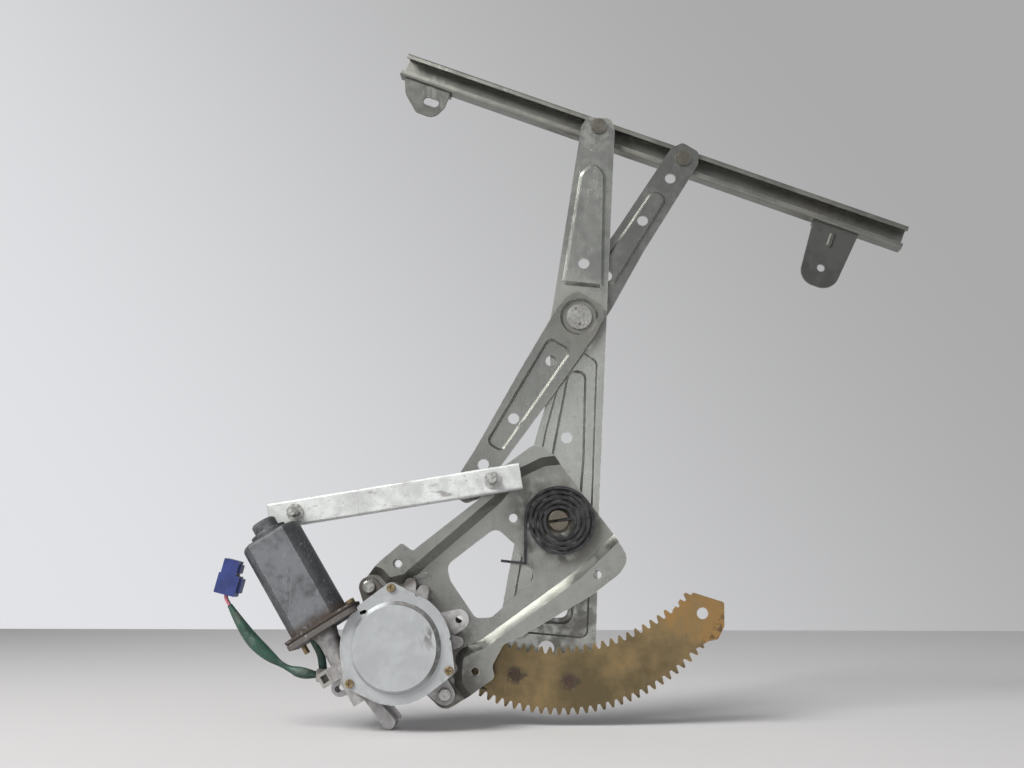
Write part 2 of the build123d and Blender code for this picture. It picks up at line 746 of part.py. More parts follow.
def channel_section(depth, wall, lip):
    """Lipped channel, web on the x axis and its mouth towards +y."""
    half = TRACK_HALF + wall
    with BuildSketch() as face:
        with Locations((0, depth / 2)):
            RectangleRounded(2 * half, depth, 1.2 * wall)
            Rectangle(2 * TRACK_HALF, depth - 2 * wall, mode=Mode.SUBTRACT)
        with Locations((0, depth - wall)):
            Rectangle(2 * (TRACK_HALF - lip), 3 * wall, mode=Mode.SUBTRACT)
    return face.sketch


with BuildPart() as lift_rail:
    with BuildSketch(across(-RAIL_LEFT, ARM_END, RAIL_ANGLE, RAIL_BACK)):
        add(channel_section(RAIL_DEPTH, RAIL_WALL, LIP))
    extrude(amount=RAIL_LEFT + RAIL_RIGHT)
save(lift_rail, "lift_rail")

# each glass bracket is an angle: a flange welded under the rail and a leg that hangs from it
BRACKET_FRONT = RAIL_FRONT + 3.0
BRACKET_SHEET = 2.0
RAIL_UNDER = TRACK_HALF + RAIL_WALL
LEFT_BRACKET = [
    (-158.0, -RAIL_UNDER, 0.5),
    (-152.0, -22.0, 8),
    (-139.0, -33.0, 6),
    (-124.0, -33.0, 9),
    (-119.0, -22.0, 8),
    (-119.0, -RAIL_UNDER, 0.5),
]
RIGHT_BRACKET = [
    (176.0, -RAIL_UNDER, 0.5),
    (179.0, -43.0, 2),
    (180.0, -57.5, 12),
    (207.0, -57.5, 12),
    (208.0, -43.0, 2),
    (211.0, -RAIL_UNDER, 0.5),
]
BRACKET_SLOT = (-130.5, -21.5)
BRACKET_HOLE = (193.2, -43.0)
BRACKET_HOLE_R = 2.9
GUSSET_R = 2.2
with BuildPart() as left_glass_bracket:
    with BuildSketch(layer(RAIL_BACK, ARM_END, RAIL_ANGLE)):
        add(rounded(LEFT_BRACKET))
    extrude(amount=RAIL_BACK - BRACKET_FRONT)
    with BuildSketch(layer(RAIL_BACK, ARM_END, RAIL_ANGLE)):
        with Locations((0, -100 - RAIL_UNDER - BRACKET_SHEET)):
            Rectangle(800, 200)
    extrude(amount=RAIL_BACK - BRACKET_FRONT - BRACKET_SHEET, mode=Mode.SUBTRACT)
    with BuildSketch(layer(RAIL_BACK, ARM_END, RAIL_ANGLE)):
        with Locations(BRACKET_SLOT):
            SlotOverall(12.5, 6.6)
    extrude(amount=RAIL_BACK, mode=Mode.SUBTRACT)
save(left_glass_bracket, "left_glass_bracket")

with BuildPart() as right_glass_bracket:
    with BuildSketch(layer(RAIL_BACK, ARM_END, RAIL_ANGLE)):
        add(rounded(RIGHT_BRACKET))
    extrude(amount=RAIL_BACK - BRACKET_FRONT)
    with BuildSketch(layer(RAIL_BACK, ARM_END, RAIL_ANGLE)):
        with Locations((0, -100 - RAIL_UNDER - BRACKET_SHEET)):
            Rectangle(800, 200)
    extrude(amount=RAIL_BACK - BRACKET_FRONT - BRACKET_SHEET, mode=Mode.SUBTRACT)
    with BuildSketch(layer(BRACKET_FRONT, ARM_END, RAIL_ANGLE)):
        with Locations((193.2, -20.0)):
            SlotOverall(13, 2 * GUSSET_R, rotation=90)
    extrude(amount=1.6, taper=35)
    with BuildSketch(layer(RAIL_BACK, ARM_END, RAIL_ANGLE)):
        with Locations(BRACKET_HOLE):
            Circle(BRACKET_HOLE_R)
    extrude(amount=RAIL_BACK, mode=Mode.SUBTRACT)
save(right_glass_bracket, "right_glass_bracket")

with BuildPart() as fixed_rail:
    with BuildSketch(across(-CHANNEL_LEFT, LOWER_END, CHANNEL_ANGLE, CHANNEL_FRONT)):
        add(mirror(channel_section(CHANNEL_DEPTH, CHANNEL_WALL, LIP), Plane.XZ))
    extrude(amount=CHANNEL_LEFT + CHANNEL_RIGHT)
save(fixed_rail, "fixed_rail")

STUDS = [polar(along, CHANNEL_ANGLE, LOWER_END) for along in (-122.0, 18.6)]
STUD_R = 3.0
STUD_LENGTH = 13.0
STUD_HEAD_R = 6.0
STUD_HEAD = 0.9
with BuildPart() as fixed_rail_studs:
    with BuildSketch(layer(CHANNEL_FRONT)):
        with Locations(*STUDS):
            Circle(STUD_HEAD_R)
    extrude(amount=STUD_HEAD)
    with BuildSketch(layer(CHANNEL_FRONT)):
        with Locations(*STUDS):
            Circle(STUD_R)
    extrude(amount=STUD_LENGTH)
save(fixed_rail_studs, "fixed_rail_studs")

# =============================================================================================
# Rollers and their pins
# =============================================================================================
PIN_HEAD_R = 6.0
PIN_HEAD = 1.5
PIN_FLANGE_R = 5.0
PIN_FLANGE = 1.2
SHOULDER_GAP = 1.0
LIFT_ROLLER_FRONT = RAIL_FRONT + RAIL_WALL + ROLLER_SIDE_GAP
LIFT_ROLLER_BACK = RAIL_BACK - RAIL_WALL - ROLLER_SIDE_GAP
GUIDE_ROLLER_FRONT = CHANNEL_FRONT + CHANNEL_WALL + ROLLER_SIDE_GAP
GUIDE_ROLLER_BACK = CHANNEL_BACK - CHANNEL_WALL - ROLLER_SIDE_GAP


def roller(at, front, back, flange_front, flange_back):
    """Roller bored for its pin and for the flange that keeps it on."""
    with BuildPart() as solid:
        add(turned(at, [(ROLLER_R, front, back)]))
        add(turned(at, [(PIN_R + RUNNING_GAP, front, back)]), mode=Mode.SUBTRACT)
        recess = [(PIN_FLANGE_R + SEAT_GAP, flange_front, flange_back)]
        add(turned(at, recess), mode=Mode.SUBTRACT)
    return solid.part


with BuildPart() as lift_pin:
    add(turned(ARM_END, [
        (PIN_HEAD_R, ARM_FRONT - PIN_HEAD, ARM_FRONT),
        (END_PIN_TENON_R, ARM_FRONT, ARM_BACK),
        (PIN_HEAD_R, ARM_BACK, RAIL_FRONT - SHOULDER_GAP),
        (PIN_R, ARM_BACK, LIFT_ROLLER_BACK),
        (PIN_FLANGE_R, LIFT_ROLLER_BACK - PIN_FLANGE, LIFT_ROLLER_BACK),
    ]))
save(lift_pin, "lift_pin")

with BuildPart() as lift_roller:
    recess_front = LIFT_ROLLER_BACK - PIN_FLANGE - SEAT_GAP
    add(roller(ARM_END, LIFT_ROLLER_FRONT, LIFT_ROLLER_BACK, recess_front, RAIL_BACK))
save(lift_roller, "lift_roller")

with BuildPart() as equaliser_pin:
    add(turned(UPPER_END, [
        (PIN_HEAD_R, UPPER_FRONT - PIN_HEAD, UPPER_FRONT),
        (END_PIN_TENON_R, UPPER_FRONT, UPPER_BACK),
        (PIN_R, UPPER_BACK, LIFT_ROLLER_BACK),
        (PIN_FLANGE_R, LIFT_ROLLER_BACK - PIN_FLANGE, LIFT_ROLLER_BACK),
    ]))
save(equaliser_pin, "equaliser_pin")

with BuildPart() as equaliser_roller:
    add(roller(UPPER_END, LIFT_ROLLER_FRONT, LIFT_ROLLER_BACK, recess_front, RAIL_BACK))
save(equaliser_roller, "equaliser_roller")

with BuildPart() as guide_pin:
    add(turned(LOWER_END, [
        (PIN_HEAD_R, LOWER_BACK, LOWER_BACK + PIN_HEAD),
        (END_PIN_TENON_R, LOWER_FRONT, LOWER_BACK),
        (PIN_HEAD_R, CHANNEL_BACK + SHOULDER_GAP, LOWER_FRONT),
        (PIN_R, GUIDE_ROLLER_FRONT, LOWER_FRONT),
        (PIN_FLANGE_R, GUIDE_ROLLER_FRONT, GUIDE_ROLLER_FRONT + PIN_FLANGE),
    ]))
save(guide_pin, "guide_pin")

with BuildPart() as guide_roller:
    recess_back = GUIDE_ROLLER_FRONT + PIN_FLANGE + SEAT_GAP
    add(roller(LOWER_END, GUIDE_ROLLER_FRONT, GUIDE_ROLLER_BACK, CHANNEL_FRONT, recess_back))
save(guide_roller, "guide_roller")

# =============================================================================================
# Gear housing and cover
# =============================================================================================
HOUSING_R = 35.2
CAVITY_R = 32.8
HOUSING_FLOOR = 3.0
HOUSING_RIM = -31.5
RIM_FLANGE = 3.5
HUB_FLANGE_R = HUB_R - 0.1
OUTPUT_R = 5.5
BEARING_R = 9.0
BEARING_FRONT = -14.0
TUNNEL_R = 7.4
TUNNEL_BORE_R = 6.0
TUNNEL_START = CAN_END + GASKET
TUNNEL_END = 18.8
TUNNEL_BORE_END = 17.6
NECK_R = 10.0
NECK_FLANGE = 3.2
EAR_R = 7.0
EAR_FRONT = 2.5
COVER_SCREWS = [(-112.1, -46.2), (-72.7, -100.0), (-138.7, -108.5)]
COVER_CENTRE = (-108.6, -85.2)  # a little off the gear shaft
COVER_R = 37.2
COVER_LOBE_R = 3.6
COVER_GAP = 0.4  # cover to the motor's flange
COVER_NICKS = [(-94.6, -50.6), (-71.3, -79.3)]
COVER_NICK_R = 1.4
COVER_SLOT = (-130.6, -62.2)
COVER_SCREW_R = 1.7
COVER_SCREW_DEPTH = 3.0
SCREW_POST_END = -12.0
SLOT_EAR = (-149.9, -113.8)
SLOT_EAR_R = 6.0
SLOT_EAR_FRONT = -8.0
LEG_ROOT = (-130.5, -118.8)
LEG_END = (-115.7, -136.2)
LEG_R = 4.3
LEG_FRONT = -10.0
LEG_RIB_ROOT = (-120.5, -124.0)
LEG_RIB_END = (-111.7, -133.7)
LEG_RIB_FRONT = 0.0
LEG_WEB_FRONT = 5.0
LUGS = [(-103.4, -43.3), (-94.4, -48.4), (-70.0, -83.3)]
LUG_R = 3.7
LUG_BACK = 6.6
LUG_FRONT = -3.0
CLIP_PAD = (-12.0, -2.0)  # along the worm tunnel
CLIP_PAD_SIDE = 10.0

with BuildSketch() as cover_outline:
    with Locations(COVER_CENTRE):
        Circle(COVER_R)
    for screw in COVER_SCREWS:
        add(lobe(COVER_R, COVER_CENTRE, screw, COVER_LOBE_R))
    with Locations(*COVER_NICKS):
        Circle(COVER_NICK_R, mode=Mode.SUBTRACT)
    with Locations(Location(polar(TUNNEL_START, WORM_LEAN, WORM_CENTRE), WORM_LEAN)):
        Rectangle(2 * (NECK_FLANGE + COVER_GAP), 2 * FLANGE_NEAR + 1, mode=Mode.SUBTRACT)

with BuildPart() as gear_housing:
    with BuildSketch(layer(PANEL_DEPTH)):
        for ear in (*EAR_BOLTS, TAPPED_EAR):
            add(lobe(16, GEAR_SHAFT, ear, EAR_R))
    extrude(amount=PANEL_DEPTH - EAR_FRONT)
    with BuildSketch(layer(PANEL_DEPTH)):
        add(lobe(14, GEAR_SHAFT, SLOT_EAR, SLOT_EAR_R))
    extrude(amount=PANEL_DEPTH - SLOT_EAR_FRONT)
    with BuildSketch(layer(PANEL_DEPTH)):
        add(lobe(14, GEAR_SHAFT, LEG_ROOT, LEG_R - 1))
        add(lobe(LEG_R - 1, LEG_ROOT, LEG_END, LEG_R))
    extrude(amount=PANEL_DEPTH - LEG_FRONT)
    with BuildSketch(layer(PANEL_DEPTH)):
        add(lobe(14, GEAR_SHAFT, LEG_RIB_ROOT, LEG_R / 2))
        add(lobe(LEG_R / 2, LEG_RIB_ROOT, LEG_RIB_END, LEG_R / 2))
    extrude(amount=PANEL_DEPTH - LEG_RIB_FRONT)
    with BuildSketch(layer(PANEL_DEPTH)):
        Polygon(LEG_ROOT, LEG_END, LEG_RIB_END, LEG_RIB_ROOT, align=None)
    extrude(amount=PANEL_DEPTH - LEG_WEB_FRONT)
    with BuildSketch(layer(LUG_BACK)):
        for lug in LUGS:
            add(lobe(14, GEAR_SHAFT, lug, LUG_R))
    extrude(amount=LUG_BACK - LUG_FRONT)
    with BuildSketch(layer(PANEL_DEPTH, GEAR_SHAFT)):
        Circle(HOUSING_R)
    extrude(amount=PANEL_DEPTH - HOUSING_RIM)
    with BuildSketch(layer(SCREW_POST_END)):
        for screw in COVER_SCREWS:
            add(lobe(30, GEAR_SHAFT, screw, COVER_LOBE_R))
    extrude(amount=SCREW_POST_END - HOUSING_RIM)
    with BuildSketch(layer(HOUSING_RIM + RIM_FLANGE)):
        add(cover_outline.sketch)
    extrude(amount=RIM_FLANGE)
    with BuildSketch(motor(TUNNEL_START)):
        add(flange())
    extrude(amount=NECK_FLANGE)
    with BuildSketch(motor(TUNNEL_START)):
        Circle(NECK_R)
    extrude(amount=20, taper=15)
    with BuildSketch(motor(TUNNEL_START)):
        Circle(TUNNEL_R)
    extrude(amount=TUNNEL_END - TUNNEL_START)
    with BuildSketch(motor(CLIP_PAD[0])):
        with Locations((-CLIP_PAD_SIDE / 2, 0)):
            Rectangle(CLIP_PAD_SIDE, 12)
    extrude(amount=CLIP_PAD[1] - CLIP_PAD[0])
    with BuildSketch(layer(PANEL_DEPTH - HOUSING_FLOOR, GEAR_SHAFT)):
        Circle(CAVITY_R)
    extrude(amount=PANEL_DEPTH - HOUSING_FLOOR - HOUSING_RIM, mode=Mode.SUBTRACT)
    add(turned(GEAR_SHAFT, [
        (BEARING_R, BEARING_FRONT, PANEL_DEPTH),
        (HUB_FLANGE_R, PANEL_DEPTH - HOUSING_FLOOR, PANEL_BACK),
    ]))
    add(turned(GEAR_SHAFT, [(OUTPUT_R + RUNNING_GAP, BEARING_FRONT, PANEL_BACK)]), mode=Mode.SUBTRACT)
    with BuildSketch(motor(TUNNEL_START)):
        Circle(TUNNEL_BORE_R)
    extrude(amount=TUNNEL_BORE_END - TUNNEL_START, mode=Mode.SUBTRACT)
    for side, reach, depth in MOTOR_SCREWS:
        with BuildSketch(motor(TUNNEL_START)):
            with Locations((side, reach)):
                Circle(MOTOR_SCREW_R)
        extrude(amount=depth, mode=Mode.SUBTRACT)
    with BuildSketch(layer(PANEL_DEPTH)):
        with Locations(*EAR_BOLTS, TAPPED_EAR):
            Circle(RIVET_R)
    extrude(amount=PANEL_DEPTH, mode=Mode.SUBTRACT)
    with BuildSketch(layer(PANEL_DEPTH)):
        with Locations(Location(SLOT_EAR, 30)):
            SlotOverall(7.5, 4.4)
    extrude(amount=PANEL_DEPTH - SLOT_EAR_FRONT, mode=Mode.SUBTRACT)
    with BuildSketch(layer(HOUSING_RIM + COVER_SCREW_DEPTH)):
        with Locations(*COVER_SCREWS):
            Circle(COVER_SCREW_R)
    extrude(amount=COVER_SCREW_DEPTH, mode=Mode.SUBTRACT)
save(gear_housing, "gear_housing")

COVER_SHEET = 1.2
COVER_FRONT = HOUSING_RIM - COVER_SHEET
COVER_RISE = 4.6
COVER_PANEL_R = 30.4
with BuildSketch() as cover_panel:
    with Locations(COVER_CENTRE):
        Circle(COVER_PANEL_R)
cover_skin, cover_hollow = pressed(cover_panel.sketch, COVER_FRONT, COVER_SHEET, COVER_RISE, 30)
with BuildPart() as housing_cover:
    with BuildSketch(layer(HOUSING_RIM)):
        add(cover_outline.sketch)
    extrude(amount=COVER_SHEET)
    add(cover_skin)
    add(cover_hollow, mode=Mode.SUBTRACT)
    with BuildSketch(layer(HOUSING_RIM)):
        with Locations(*COVER_SCREWS):
            Circle(COVER_SCREW_R)
        with Locations(Location(COVER_SLOT, 20)):
            SlotOverall(5.0, 2.6)
    extrude(amount=COVER_SHEET, mode=Mode.SUBTRACT)
save(housing_cover, "housing_cover")

SCREW_HEAD_R = 2.9
SCREW_HEAD = 1.9
with BuildPart() as cover_screws:
    for screw in COVER_SCREWS:
        add(turned(screw, [
            (COVER_SCREW_R, COVER_FRONT, HOUSING_RIM + COVER_SCREW_DEPTH),
            (SCREW_HEAD_R, COVER_FRONT - SCREW_HEAD, COVER_FRONT),
        ]))
    chamfer(faces().filter_by(Axis.Y).group_by(Axis.Y)[0].edges(), 0.5)
    with BuildSketch(layer(COVER_FRONT - SCREW_HEAD)):
        with Locations(*COVER_SCREWS):
            Rectangle(3.6, 0.9)
            Rectangle(0.9, 3.6)
    extrude(amount=-SCREW_HEAD / 2, mode=Mode.SUBTRACT)
save(cover_screws, "cover_screws")

BOLT_HEAD_R = 4.6
BOLT_HEAD = 1.8
BOLT_CLINCH = 1.4
with BuildPart() as housing_bolts:
    for ear in EAR_BOLTS:
        add(turned(ear, [
            (RIVET_R, EAR_FRONT, PANEL_BACK + BOLT_CLINCH),
            (BOLT_HEAD_R, EAR_FRONT - BOLT_HEAD, EAR_FRONT),
            (BOLT_HEAD_R, PANEL_BACK, PANEL_BACK + BOLT_CLINCH),
        ]))
    fillet(faces().filter_by(Axis.Y).group_by(Axis.Y)[0].edges(), 1.0)
save(housing_bolts, "housing_bolts")

# =============================================================================================
# Worm wheel, its damper and the output shaft with the pinion
# =============================================================================================
WHEEL_FRONT = MOTOR_DEPTH - 6.0
WHEEL_BACK = MOTOR_DEPTH + 6.0
WHEEL_TIP_R = WHEEL_PITCH_R + WORM_MODULE
WHEEL_ROOT_R = WHEEL_PITCH_R - 1.25 * WORM_MODULE
WHEEL_HALF_TOOTH = 0.6  # at the pitch circle
WHEEL_RIM_R = 25.5
WHEEL_WEB = 2.6
WORM_HALF_THREAD = 0.45
WORM_TURNS = 4
WORM_ROOT_R = 3.4
ARMATURE_SHAFT_R = 2.5
DOG_COUNT = 3
DOG_WIDTH = 6.0
DRIVE_DISC_R = 24.0
DRIVE_DISC = 1.6

wheel_tip_half = WHEEL_HALF_TOOTH - WORM_MODULE * SLOPE
wheel_root_half = WHEEL_HALF_TOOTH + 1.25 * WORM_MODULE * SLOPE
with BuildPart() as worm_wheel:
    with BuildSketch(layer(WHEEL_BACK, GEAR_SHAFT)):
        Circle(WHEEL_ROOT_R)
        for tooth in range(WHEEL_TEETH):
            with Locations(Location((0, 0), WORM_SIDE + (tooth + 0.5) * 360 / WHEEL_TEETH)):
                Polygon(
                    (WHEEL_ROOT_R - ROOT_LAP, -wheel_root_half),
                    (WHEEL_ROOT_R, -wheel_root_half),
                    (WHEEL_TIP_R, -wheel_tip_half),
                    (WHEEL_TIP_R, wheel_tip_half),
                    (WHEEL_ROOT_R, wheel_root_half),
                    (WHEEL_ROOT_R - ROOT_LAP, wheel_root_half),
                    align=None,
                )
        Circle(OUTPUT_R, mode=Mode.SUBTRACT)
    extrude(amount=WHEEL_BACK - WHEEL_FRONT)
    with BuildSketch(layer(WHEEL_BACK - WHEEL_WEB, GEAR_SHAFT)):
        Circle(WHEEL_RIM_R)
        Circle(BEARING_R, mode=Mode.SUBTRACT)
    extrude(amount=WHEEL_BACK - WHEEL_FRONT, mode=Mode.SUBTRACT)
    with BuildSketch(layer(WHEEL_FRONT + DRIVE_DISC, GEAR_SHAFT)):
        Circle(WHEEL_RIM_R)
    extrude(amount=DRIVE_DISC, mode=Mode.SUBTRACT)
save(worm_wheel, "worm_wheel")

with BuildPart() as damper:
    with BuildSketch(layer(WHEEL_BACK - WHEEL_WEB, GEAR_SHAFT)):
        Circle(WHEEL_RIM_R)
        Circle(BEARING_R, mode=Mode.SUBTRACT)
        with PolarLocations(17.5, DOG_COUNT):
            Rectangle(12.0, DOG_WIDTH, mode=Mode.SUBTRACT)
    extrude(amount=WHEEL_BACK - WHEEL_WEB - WHEEL_FRONT - DRIVE_DISC - 0.2)
save(damper, "damper")


def pinion_tooth():
    """Involute tooth on the x axis, from inside the root to the tip circle."""
    base_r = PINION_PITCH_R * cos(radians(PRESSURE))
    pitch_half = PINION_HALF_TOOTH / PINION_PITCH_R + involute(radians(PRESSURE))
    flank = []
    for step in range(5):
        r = base_r + (PINION_TIP_R - base_r) * step / 4
        flank.append(polar(r, degrees(pitch_half - involute(acos(base_r / r)))))
    flank.insert(0, (PINION_ROOT_R - ROOT_LAP, flank[0][1]))
    with BuildSketch() as face:
        Polygon(*flank, *[(x, -y) for x, y in reversed(flank)], align=None)
    return face.sketch


PINION_BACK = SECTOR_FRONT + SECTOR_THICK + 1.5
PINION_FRONT = SECTOR_FRONT - 1.2
with BuildPart() as drive_pinion:
    add(turned(GEAR_SHAFT, [
        (OUTPUT_R, WHEEL_FRONT - 1.0, PINION_FRONT),
        (PINION_ROOT_R, PINION_FRONT, PINION_BACK),
        (DRIVE_DISC_R, WHEEL_FRONT, WHEEL_FRONT + DRIVE_DISC),
    ]))
    with BuildSketch(layer(WHEEL_BACK - WHEEL_WEB - 1.0, GEAR_SHAFT)):
        with PolarLocations(17.5, DOG_COUNT):
            Rectangle(11.6, DOG_WIDTH - 0.4)
    extrude(amount=WHEEL_BACK - WHEEL_WEB - 1.0 - WHEEL_FRONT)
    with BuildSketch(layer(PINION_BACK, GEAR_SHAFT)):
        for tooth in range(PINION_TEETH):
            turn = GEAR_ANGLE - 180 + (tooth + 0.5) * 360 / PINION_TEETH
            with Locations(Location((0, 0), turn)):
                add(pinion_tooth())
    extrude(amount=PINION_BACK - PINION_FRONT)
save(drive_pinion, "drive_pinion")

# =============================================================================================
# Motor
# =============================================================================================
CAN_CORNER_R = 3.0
BOSS_STEP_R = 12.5
BOSS_STEP = 3.2
BOSS_OUTER_R = 8.6
BOSS_LENGTH = 11.0
BUSHING_R = 5.0
BUSHING_LENGTH = 8.0


def double_d(radius, flat):
    """Round section with a flat towards the cabin and one away from it."""
    with BuildSketch() as face:
        Circle(radius)
        Rectangle(2 * radius, 2 * flat, mode=Mode.INTERSECT)
    return face.sketch


def spindle(steps):
    """Solid of coaxial steps (radius, start, end) along the motor axis."""
    with BuildPart() as solid:
        for radius, start, end in steps:
            with BuildSketch(motor(start)):
                Circle(radius)
            extrude(amount=end - start)
    return solid.part


with BuildPart() as motor_can:
    with BuildSketch(motor(CAN_START)):
        add(double_d(CAN_R, CAN_FLAT))
    extrude(amount=CAN_END - CAN_START)
    motor_axis = Axis((0, 0, 0), (cos(radians(WORM_LEAN)), 0, sin(radians(WORM_LEAN))))
    fillet(edges().group_by(motor_axis)[0], CAN_CORNER_R)
    add(spindle([
        (BOSS_STEP_R, CAN_START - BOSS_STEP, CAN_START + CAN_WALL),
        (BOSS_OUTER_R, CAN_START - BOSS_LENGTH, CAN_START),
    ]))
    chamfer(edges().group_by(motor_axis)[0], 1.2)
    with BuildSketch(motor(CAN_END - FLANGE_SHEET)):
        add(flange())
    extrude(amount=FLANGE_SHEET)
    with BuildSketch(motor(CAN_START + CAN_WALL)):
        add(double_d(CAN_R - CAN_WALL, CAN_FLAT - CAN_WALL))
    extrude(amount=CAN_END - CAN_START - CAN_WALL, mode=Mode.SUBTRACT)
    with BuildSketch(motor(CAN_START - BUSHING_LENGTH)):
        Circle(BUSHING_R)
    extrude(amount=BUSHING_LENGTH + CAN_WALL, mode=Mode.SUBTRACT)
save(motor_can, "motor_can")

with BuildPart() as can_bushing:
    with BuildSketch(motor(CAN_START - BUSHING_LENGTH)):
        Circle(BUSHING_R)
        Circle(ARMATURE_SHAFT_R + RUNNING_GAP, mode=Mode.SUBTRACT)
    extrude(amount=BUSHING_LENGTH)
save(can_bushing, "can_bushing")

BEARING_LENGTH = 4.0
with BuildPart() as worm_bushings:
    for start in (TUNNEL_START + 1.0, TUNNEL_BORE_END - BEARING_LENGTH - 1.0):
        with BuildSketch(motor(start)):
            Circle(TUNNEL_BORE_R)
            Circle(ARMATURE_SHAFT_R + RUNNING_GAP, mode=Mode.SUBTRACT)
        extrude(amount=BEARING_LENGTH)
save(worm_bushings, "worm_bushings")

with BuildPart() as gasket:
    with BuildSketch(motor(CAN_END)):
        add(flange(0.5))
        Circle(CAN_R - 6, mode=Mode.SUBTRACT)
    extrude(amount=GASKET)
save(gasket, "gasket")

MOTOR_SCREW_HEAD_R = 3.3
with BuildPart() as motor_screws:
    for side, reach, depth in MOTOR_SCREWS:
        with BuildSketch(motor(CAN_END - FLANGE_SHEET)):
            with Locations((side, reach)):
                Circle(MOTOR_SCREW_R)
        extrude(amount=FLANGE_SHEET + GASKET + depth)
        with BuildSketch(motor(CAN_END - FLANGE_SHEET - 3.2)):
            with Locations((side, reach)):
                RegularPolygon(MOTOR_SCREW_HEAD_R, 6)
        extrude(amount=3.2)
save(motor_screws, "motor_screws")

MAGNET_GAP = 0.9
CORE_R = 13.6
CORE = (-96.0, -64.0)
SLOT_COUNT = 10
MAGNET_SPREAD = 44.0
MAGNET_OUTER_R = CAN_R - CAN_WALL
COMMUTATOR_R = 6.0
COMMUTATOR = (-55.0, -45.0)
BRUSH_HALF = 1.8
BRUSH = (-52.0, -47.0)
with BuildPart() as magnets:
    for side in (0, 180):
        with BuildSketch(motor(CORE[0] - 4)):
            Circle(MAGNET_OUTER_R)
            Circle(CORE_R + MAGNET_GAP, mode=Mode.SUBTRACT)
            Polygon(
                (0, 0),
                polar(40, side - MAGNET_SPREAD),
                polar(60, side),
                polar(40, side + MAGNET_SPREAD),
                align=None,
                mode=Mode.INTERSECT,
            )
        extrude(amount=CORE[1] - CORE[0] + 8)
save(magnets, "magnets")

with BuildPart() as armature:
    with BuildSketch(motor(CORE[0])):
        Circle(CORE_R)
        with PolarLocations(CORE_R, SLOT_COUNT):
            Rectangle(8.0, 1.8, mode=Mode.SUBTRACT)
    extrude(amount=CORE[1] - CORE[0])
    add(spindle([(ARMATURE_SHAFT_R, CAN_START - BUSHING_LENGTH + 1.0, TUNNEL_BORE_END - 0.5)]))
save(armature, "armature")

with BuildPart() as windings:
    for start, end in ((CORE[0] - 5.5, CORE[0]), (CORE[1], CORE[1] + 6.0)):
        with BuildSketch(motor(start)):
            Circle(CORE_R - 2.2)
            Circle(ARMATURE_SHAFT_R, mode=Mode.SUBTRACT)
        extrude(amount=end - start)
save(windings, "windings")

with BuildPart() as commutator:
    with BuildSketch(motor(COMMUTATOR[0])):
        Circle(COMMUTATOR_R)
        with PolarLocations(COMMUTATOR_R, SLOT_COUNT):
            Rectangle(1.4, 0.5, mode=Mode.SUBTRACT)
        Circle(ARMATURE_SHAFT_R, mode=Mode.SUBTRACT)
    extrude(amount=COMMUTATOR[1] - COMMUTATOR[0])
save(commutator, "commutator")

WORM_START = -WORM_TURNS / 2 * WORM_PITCH
WORM_END_LAND = 1.0
with BuildPart() as worm_blank:  # one right-handed start, upright at the origin
    with BuildSketch(Plane.XY.offset(-WORM_END_LAND)):
        Circle(WORM_ROOT_R)
    extrude(amount=WORM_TURNS * WORM_PITCH + 2 * WORM_END_LAND)
    with BuildLine() as thread:
        Helix(WORM_PITCH, WORM_TURNS * WORM_PITCH, WORM_PITCH_R)
    with BuildSketch(Plane(origin=thread.line @ 0, x_dir=(1, 0, 0), z_dir=thread.line % 0)):
        Polygon(
            (WORM_ROOT_R - WORM_PITCH_R - 0.5, -WORM_HALF_THREAD - 0.4),
            (WORM_MODULE, -WORM_HALF_THREAD + 0.25),
            (WORM_MODULE, WORM_HALF_THREAD - 0.25),
            (WORM_ROOT_R - WORM_PITCH_R - 0.5, WORM_HALF_THREAD + 0.4),
            align=None,
        )
    sweep(path=thread.line, is_frenet=True)
    with BuildSketch(Plane.XY.offset(-WORM_END_LAND)):
        Circle(ARMATURE_SHAFT_R)
    extrude(amount=WORM_TURNS * WORM_PITCH + 2 * WORM_END_LAND, mode=Mode.SUBTRACT)
with BuildPart() as worm:
    with Locations(motor(WORM_START)):
        add(worm_blank.part)
save(worm, "worm")

BRUSH_BOX = 1.2
BRUSH_REACH = 13.0
with BuildPart() as brush_holder:
    with BuildSketch(motor(CAN_END - HOLDER)):
        add(double_d(CAN_R - CAN_WALL, CAN_FLAT - CAN_WALL))
        Circle(COMMUTATOR_R + 2.0, mode=Mode.SUBTRACT)
    extrude(amount=HOLDER)
    for side in (1, -1):
        with BuildSketch(motor(BRUSH[0] - BRUSH_BOX)):
            with Locations((side * (COMMUTATOR_R + 2.0 + BRUSH_REACH / 2 - 1.5), 0)):
                Rectangle(BRUSH_REACH - 3.0, 2 * (BRUSH_HALF + BRUSH_BOX))
        extrude(amount=CAN_END - BRUSH[0] - HOLDER + BRUSH_BOX)
        with BuildSketch(motor(BRUSH[0])):
            with Locations((side * (COMMUTATOR_R + BRUSH_REACH / 2), 0)):
                Rectangle(BRUSH_REACH - 1.0, 2 * BRUSH_HALF)
        extrude(amount=BRUSH[1] - BRUSH[0], mode=Mode.SUBTRACT)
save(brush_holder, "brush_holder")

with BuildPart() as brushes:
    for side in (1, -1):
        with BuildSketch(motor(BRUSH[0] + 0.1)):
            with Locations((side * (COMMUTATOR_R + 0.1 + 4.0), 0)):
                Rectangle(8.0, 2 * BRUSH_HALF - 0.2)
        extrude(amount=BRUSH[1] - BRUSH[0] - 0.2)
save(brushes, "brushes")

